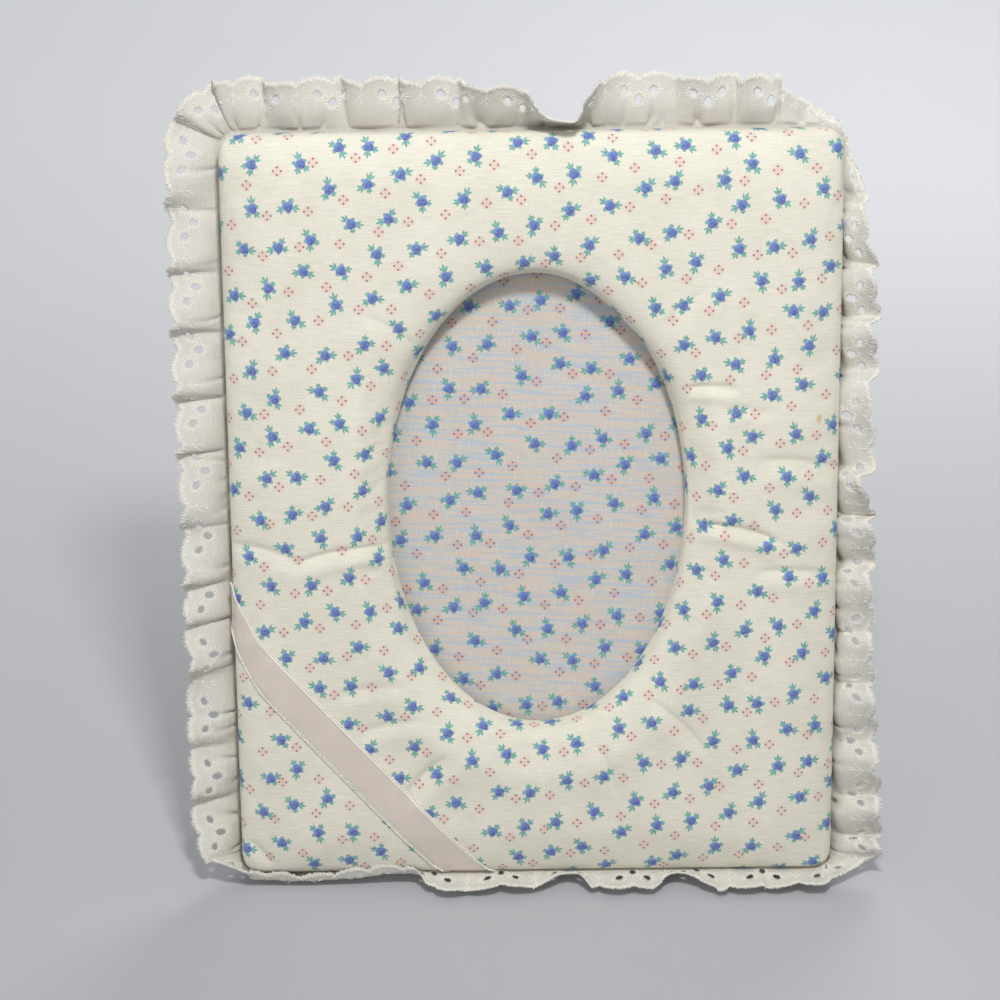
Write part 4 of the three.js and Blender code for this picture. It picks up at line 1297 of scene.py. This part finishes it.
def ribbon_line(finder, offset):
    """One thread of the ribbon: from behind the left edge, over the corner, to behind the lower edge"""
    unrolled, inwards, depths = edge_roll()
    left = -BOARD_WIDTH / 2
    run = unit(np.array([RIBBON_INSET, -RIBBON_LEFT]))
    across = np.array([-run[1], run[0]]) * offset
    places = np.array(RIBBON_MIDDLE) + across + run * np.arange(-75, 75, 0.6)[:, None]
    from_left, from_below = places[:, 0] - left, places[:, 1]
    reached = (from_left > unrolled[0]) & (from_below > unrolled[0])
    from_left, from_below = from_left[reached], from_below[reached]
    x = left + np.interp(from_left, unrolled, inwards)
    z = np.interp(from_below, unrolled, inwards) + RIBBON_PULL * smoothstep(-from_left, -9.0, 4.0)
    depth = np.maximum(np.interp(from_left, unrolled, depths), np.interp(from_below, unrolled, depths))
    on_front = depth < -2.0
    for k in np.flatnonzero(on_front & (x - left > 0.8) & (z > 0.8)):
        hit = finder.ray_cast(Vector((x[k], -60.0, z[k])), Vector((0, 1, 0)), 100)[0]
        if hit is not None:
            depth[k] = hit.y
    # The ribbon is drawn taut, so it spans the small hollows
    for _ in range(3):
        depth = np.where(on_front, np.minimum(depth, blurred(depth, 6, 3.5)), depth)
    return np.column_stack([x, depth - 0.3 * on_front, z])


def resampled(line, step):
    """The same line in even steps, with its corners softened, and the length at each point"""
    lengths = running_length(line)
    even = np.linspace(0, lengths[-1], int(lengths[-1] / step) + 1)
    points = between(even, lengths, line)
    soft = np.column_stack([blurred(column, 2, 1.4) for column in points.T])
    soft[[0, -1]] = points[[0, -1]]
    return soft, even


def ribbon_mesh(name, grid, along, across, material):
    """A ribbon with its thickness, from rows of points in metres and their places on the cloth"""
    rows, count = grid.shape[:2]
    first = np.arange(rows - 1)[:, None] * count + np.arange(count - 1)
    faces = np.stack([first, first + 1, first + count + 1, first + count], axis=-1).reshape(-1, 4).tolist()
    uv = np.stack(np.meshgrid(along, across), axis=-1).reshape(-1, 2) * MM
    ribbon = mesh_object(name, grid.reshape(-1, 3), faces, material, uv)
    thickness = sizes().ribbon_thickness
    return modified(ribbon, "SOLIDIFY", thickness=thickness, offset=0.0, use_even_offset=True)


class FRAME_OT_corner_ribbon(Operator):
    """Satin ribbon across the lower left corner, with its corded edges"""

    bl_idname = "photo_frame.corner_ribbon"
    bl_label = "Corner ribbon"

    def execute(self, context):
        finder = front_finder()
        offsets = np.linspace(-RIBBON_WIDTH / 2, RIBBON_WIDTH / 2, 13)
        lines = [resampled(ribbon_line(finder, offset), 0.7) for offset in offsets]
        along = lines[len(lines) // 2][1]
        shares = np.linspace(0, 1, len(along))
        grid = np.array([between(shares, np.linspace(0, 1, len(line)), line) for line, _ in lines])
        grid[:, :, 1] -= 0.12 * np.cos(np.pi * offsets / RIBBON_WIDTH)[:, None]
        material = satin("ribbon_satin", colours().satin)
        ribbon = ribbon_mesh("corner_ribbon_satin", placed(grid), along, offsets, material)
        picots = self.picots(grid)
        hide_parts("corner_ribbon")
        for piece in (ribbon, picots):
            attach(piece, "frame")
        return {"FINISHED"}

    def picots(self, grid):
        """Small stitches along both edges of the ribbon"""
        thread = embroidery_thread("ribbon_edge_thread", shade(colours().thread, 1.12))
        rows = []
        for edge, inner, side in ((0, 1, -0.3), (-1, -2, 0.3)):
            outwards = grid[edge] - grid[inner]
            line = grid[edge] + 0.3 * outwards
            along, outwards = np.gradient(line, axis=0), unit(outwards)
            up = np.cross(along, outwards)
            rows.append((line + side * unit(up), unit(along) + 0.5 * outwards, up))
        places, ahead, up = (np.concatenate(row) for row in zip(*rows))
        return stitched("corner_ribbon_edges", places, ahead, up, (0.9, 0.6, 0.6), thread, 4)


def soft_slab(outline, front, back, face_rows, relief):
    """Closed cloth over a flat board: rings from the middle of its front, round the edge, to its back"""
    core, out = outline.even(320)
    edge = core + out * outline.radius
    centre = edge.mean(0)
    radius = min(sizes().edge_softness / MM, (back - front) / 2)

    def face(share, depth, side):
        flat = centre + (edge - out * radius - centre) * share
        return raised(flat, depth + side * relief(flat) * min(1, 3 * (1 - share)))

    def bend(turn, depth, side):
        flat = edge - out * (radius * (1 - math.sin(turn)))
        return raised(flat, depth + side * radius * (1 - math.cos(turn)))

    shares = np.linspace(0, 1, face_rows)
    turns = np.radians(np.linspace(0, 90, 4))
    rings = [face(share, front, 1) for share in shares]
    rings += [bend(turn, front, 1) for turn in turns[1:]]
    rings += [bend(turn, back, -1) for turn in turns[::-1]]
    rings += [face(share, back, -1) for share in shares[-2::-1]]
    return np.array(rings)


def slab_object(name, rings, material, place=PANEL):
    """Mesh of such rings; their first and last one are points at the middle of the faces"""
    total, count = rings.shape[:2]
    middles = [rings[0].mean(0), rings[-1].mean(0)]
    points = np.concatenate([rings[1:-1].reshape(-1, 3), middles])
    first = (total - 2) * count
    base = first - count
    faces = ring_faces(total - 2, count, closed_rows=False)
    faces += [(first, k, (k + 1) % count) for k in range(count)]
    faces += [(first + 1, base + (k + 1) % count, base + k) for k in range(count)]
    centre = middles[0][[0, 2]]
    ray = unit(rings[total // 3][:, [0, 2]] - centre)
    length = running_length(rings)
    folded = np.minimum(length, length[-1] - length)[1:-1]
    uv = np.concatenate([(centre + ray * folded[..., None]).reshape(-1, 2), [centre] * 2]) * MM
    return mesh_object(name, placed(points, place), faces, material, uv)


def cloth_relief(depth, seed):
    """Shallow unevenness of cloth on a board, from a few long waves"""
    dice = np.random.default_rng(seed)
    waves = [(dice.uniform(-0.09, 0.09, 2), dice.uniform(0, 6.3)) for _ in range(7)]

    def relief(flat):
        return depth * sum(np.sin(flat @ wave * 1.3 + phase) for wave, phase in waves) / len(waves)

    return relief


# Rounding of a lining's corners
LINING_CORNER = 3.8


class FRAME_OT_linings(Operator):
    """Printed cotton on the backing that shows in the oval, and plain cotton on the back"""

    bl_idname = "photo_frame.linings"
    bl_label = "Backing and back cloth"

    def execute(self, context):
        # The backing's ground is the cover's cotton made cooler and darker: partly its own cooler tone, partly
        # painted shade of the recess behind the oval
        cooler_shaded_cotton = shade(colours().cotton, (0.8, 0.79, 0.85))
        inner = printed_cotton("backing_cotton", cooler_shaded_cotton, turn=3.0, shot=0.78)
        plain = plain_cotton("lining_cotton", colours().lining, 0.45, 0.22)
        self.cover("backing_cloth", "backing_cover", inner, "printed_cotton", cloth_relief(0.0, 11))
        self.cover("back_cloth", "back_cover", plain, "back_cotton", cloth_relief(0.12, 12))
        self.slip_stitches()
        return {"FINISHED"}

    def cover(self, name, node, material, slot, relief):
        low, high = node_box(node)
        outline = board_outline(high[0], low[2], high[2], LINING_CORNER)
        cloth = slab_object(name, soft_slab(outline, low[1], high[1], 26, relief), material)
        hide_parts(node)
        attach(cloth, "frame")

    def slip_stitches(self):
        """Slip stitches that hold the back to the backing, all round its edge"""
        low, high = node_box("back_cover")
        core, out = board_outline(high[0], low[2], high[2], LINING_CORNER).even(210)
        points = raised(core + out * (LINING_CORNER + 0.05), low[1] + 0.1)
        ahead = raised(paired(-out[:, 1], out[:, 0]) * 0.8, 0.9)
        thread = embroidery_thread("sewing_thread", colours().lining)
        ladder = stitched("back_slip_stitches", points, ahead, raised(out), (1.9, 0.26, 0.26), thread, 5)
        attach(ladder, "frame")


class FRAME_OT_leg_sleeve(Operator):
    """Cotton sleeve of the easel leg, drawn closed under its foot"""

    bl_idname = "photo_frame.leg_sleeve"
    bl_label = "Leg sleeve"

    def execute(self, context):
        points = node_points("leg_cover", LEG)
        (_, front, low), (foot, back, high) = points.min(0), points.max(0)
        top = points[points[:, 2] > high - 0.5, 0].max()
        corners = np.array([(-foot, low), (foot, low), (top, high), (-top, high)])
        rings = soft_slab(four_sided_outline(corners, 1.6), front, back, 20, cloth_relief(0.1, 21))
        # The foot is cut level with the floor
        world = placed(rings, LEG)
        world[..., 2] = np.maximum(world[..., 2], 0.0003)
        lining = bpy.data.materials["lining_cotton"]
        sleeve = slab_object("leg_sleeve_cloth", unplaced(world, LEG), lining, LEG)
        modified(sleeve, "SOLIDIFY", thickness=sizes().sleeve_thickness, offset=-1.0, use_even_offset=False)
        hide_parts("leg_cover")
        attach(sleeve, "leg")
        return {"FINISHED"}


# Stay: its width, how far up the panel it is held, the length of its ends, and how far it lies off the cloth
STAY_WIDTH = 10.0
STAY_PLACE = 48.0
STAY_END = 10.0
STAY_OFF = 0.55


class FRAME_OT_stay_ribbon(Operator):
    """Ribbon stay between the back and the leg"""

    bl_idname = "photo_frame.stay_ribbon"
    bl_label = "Stay ribbon"

    def execute(self, context):
        back_face = node_box("back_cover")[1][1] + STAY_OFF
        leg_face = node_box("leg_cover", LEG)[0][1] - STAY_OFF
        down = STAY_PLACE - unplaced(HINGE_PIN)[2]
        on_back = placed([(0, back_face, STAY_PLACE - STAY_END), (0, back_face, STAY_PLACE - 0.4)])
        on_leg = placed([(0, leg_face, down + 0.4), (0, leg_face, down - STAY_END)], LEG)
        line, along = resampled(np.concatenate([on_back, on_leg]) / MM, 1.0)
        # A taut ribbon still hangs a little
        line[:, 2] -= 0.5 * np.sin(np.linspace(0, np.pi, len(line))) ** 2
        across = np.linspace(-STAY_WIDTH / 2, STAY_WIDTH / 2, 9)
        grid = np.array([line + (offset, 0, 0) for offset in across]) * MM
        # The satin has its corded edges where those of the corner ribbon are, which is a little wider
        material = bpy.data.materials["ribbon_satin"]
        ribbon = ribbon_mesh("stay_ribbon_satin", grid, along, across * 1.1, material)
        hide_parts("stay_ribbon")
        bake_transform(ribbon, "frame", "leg", Vector(on_back[1]), Vector(on_leg[0]))
        return {"FINISHED"}


class FRAME_OT_boards_and_metal(Operator):
    """Finishes of the boards, the heading band, the hinge and the rivets"""

    bl_idname = "photo_frame.boards_and_metal"
    bl_label = "Boards and metal"

    def execute(self, context):
        tint = colours()
        finishes = {
            "greyboard": board_finish("greyboard", tint.greyboard),
            "heading_tape": embroidery_thread("heading_tape", tint.lining),
            "hinge_steel": metal("hinge_steel", tint.steel, (0.4, 6.0, 6.0), 0.4),
            "rivet_brass": metal("rivet_brass", tint.brass, (3.0, 3.0, 3.0), 0.5),
        }
        for row in frame["record"]["subparts"]:
            if row["material_slot"] in finishes:
                materials = frame["nodes"][row["node"]].data.materials
                materials.clear()
                materials.append(finishes[row["material_slot"]])
        return {"FINISHED"}


# Camera of the photograph, in millimetres of the panel: its place, how far it looks down on the panel,
# its roll, and its focal length in pixels of a square picture 1000 pixels wide
CAMERA_PLACE = (-11.4, -854.1, 335.0)
CAMERA_DROP = math.radians(13.447)
CAMERA_ROLL = math.radians(-0.598)
CAMERA_FOCUS = 2600.0
PICTURE_WIDTH = 1000.0

# Backdrop in metres: half width of the floor, distance and bend of the wall behind the frame
FLOOR_REACH = 2.5
WALL = 1.2
WALL_BEND = 0.5


class FRAME_OT_stage(Operator):
    """Pale floor and backdrop, soft studio light and the camera"""

    bl_idname = "photo_frame.stage"
    bl_label = "Stage"

    def execute(self, context):
        self.backdrop()
        self.camera(context.scene)
        self.light("key", (0.05, -0.48, 0.8), 0.1, 4.0, 180)
        self.light("fill", (-0.8, -1.3, 0.6), 1.0, 3.2, 180)
        self.light("back", (0.35, 0.85, 0.7), 0.6, 4.0, 160)
        world = bpy.data.worlds.new("studio")
        world.use_nodes = True
        context.scene.world = world
        sky = world.node_tree.nodes["Background"].inputs
        sky["Color"].default_value = (0.93, 0.95, 1.0, 1)
        sky["Strength"].default_value = 0.4
        context.scene.view_settings.view_transform = "Standard"
        return {"FINISHED"}

    def backdrop(self):
        finish = Finish("backdrop", Roughness=0.95, Emission_Strength=1.0)
        tint = colours().floor
        place = finish.place()
        seen = finish.mix(finish.noise(place, 0.02), shade(tint, 0.97), tint)
        # Pale where it is seen, also far off, and darker for the light that it sends back to the frame
        rays = finish.node("ShaderNodeLightPath").outputs
        kinds = ("Camera", "Glossy", "Transmission")
        camera, glossy, through = (Number(finish, rays[f"Is {kind} Ray"]) for kind in kinds)
        direct = camera + glossy + through
        y = finish.parts(place)[1]
        far = finish.step(y, -200, 900) + finish.step(y * -1.0, 700, 2200) * 0.7
        glow = finish.mix(direct * far, (0, 0, 0), (0.3, 0.304, 0.315))
        finish.dress(Base_Color=finish.mix(direct, shade(tint, 0.8), seen), Emission_Color=glow)
        profile = [(-FLOOR_REACH, 0.0), (-0.5, 0.0), (0.5, 0.0)]
        for turn in np.radians(np.linspace(0, 90, 25)):
            profile.append((WALL - WALL_BEND * (1 - math.sin(turn)), WALL_BEND * (1 - math.cos(turn))))
        profile.append((WALL, FLOOR_REACH))
        count = len(profile)
        points = [(x, *place) for x in (-FLOOR_REACH, FLOOR_REACH) for place in profile]
        faces = [(k, count + k, count + k + 1, k + 1) for k in range(count - 1)]
        mesh_object("floor", points, faces, finish.material)

    def camera(self, scene):
        data = bpy.data.cameras.new("camera")
        data.sensor_width = 36.0
        data.lens = data.sensor_width * CAMERA_FOCUS / PICTURE_WIDTH
        data.clip_start = 0.01
        scene.camera = linked("camera", data)
        turn = Matrix.Rotation(math.pi / 2 - CAMERA_DROP, 4, "X") @ Matrix.Rotation(CAMERA_ROLL, 4, "Z")
        scene.camera.matrix_world = PANEL @ Matrix.Translation(Vector(CAMERA_PLACE) * MM) @ turn

    def light(self, name, place, size, power, spread):
        data = bpy.data.lights.new(name, "AREA")
        data.shape = "SQUARE"
        data.size = size
        data.energy = power
        data.spread = math.radians(spread)
        lamp = linked(name, data)
        lamp.visible_camera = False
        lamp.location = place
        aim = Vector((0, 0, 0.12)) - Vector(place)
        lamp.rotation_euler = aim.to_track_quat("-Z", "Y").to_euler()


OPERATORS = (
    FRAME_OT_stage,
    FRAME_OT_padded_front,
    FRAME_OT_corner_ribbon,
    FRAME_OT_eyelet_ruffle,
    FRAME_OT_linings,
    FRAME_OT_leg_sleeve,
    FRAME_OT_stay_ribbon,
    FRAME_OT_boards_and_metal,
)


class FRAME_PT_panel(Panel):
    """Sizes, colours and steps of the padded photo frame"""

    bl_idname = "FRAME_PT_panel"
    bl_label = "Padded Photo Frame"
    bl_space_type = "VIEW_3D"
    bl_region_type = "UI"
    bl_category = "Photo Frame"

    def draw(self, context):
        for settings in (context.scene.photo_frame_sizes, context.scene.photo_frame_colours):
            box = self.layout.box()
            for name in settings.__annotations__:
                box.prop(settings, name)
        for operator in OPERATORS:
            self.layout.operator(operator.bl_idname)


CLASSES = (PhotoFrameSizes, PhotoFrameColours, *OPERATORS, FRAME_PT_panel)


def register():
    for cls in CLASSES:
        bpy.utils.register_class(cls)
    bpy.types.Scene.photo_frame_sizes = PointerProperty(type=PhotoFrameSizes)
    bpy.types.Scene.photo_frame_colours = PointerProperty(type=PhotoFrameColours)


def unregister():
    del bpy.types.Scene.photo_frame_colours
    del bpy.types.Scene.photo_frame_sizes
    for cls in reversed(CLASSES):
        bpy.utils.unregister_class(cls)


def main():
    register()
    for operator in OPERATORS:
        category, name = operator.bl_idname.split(".")
        getattr(getattr(bpy.ops, category), name)()


if __name__ == "__main__":
    main()
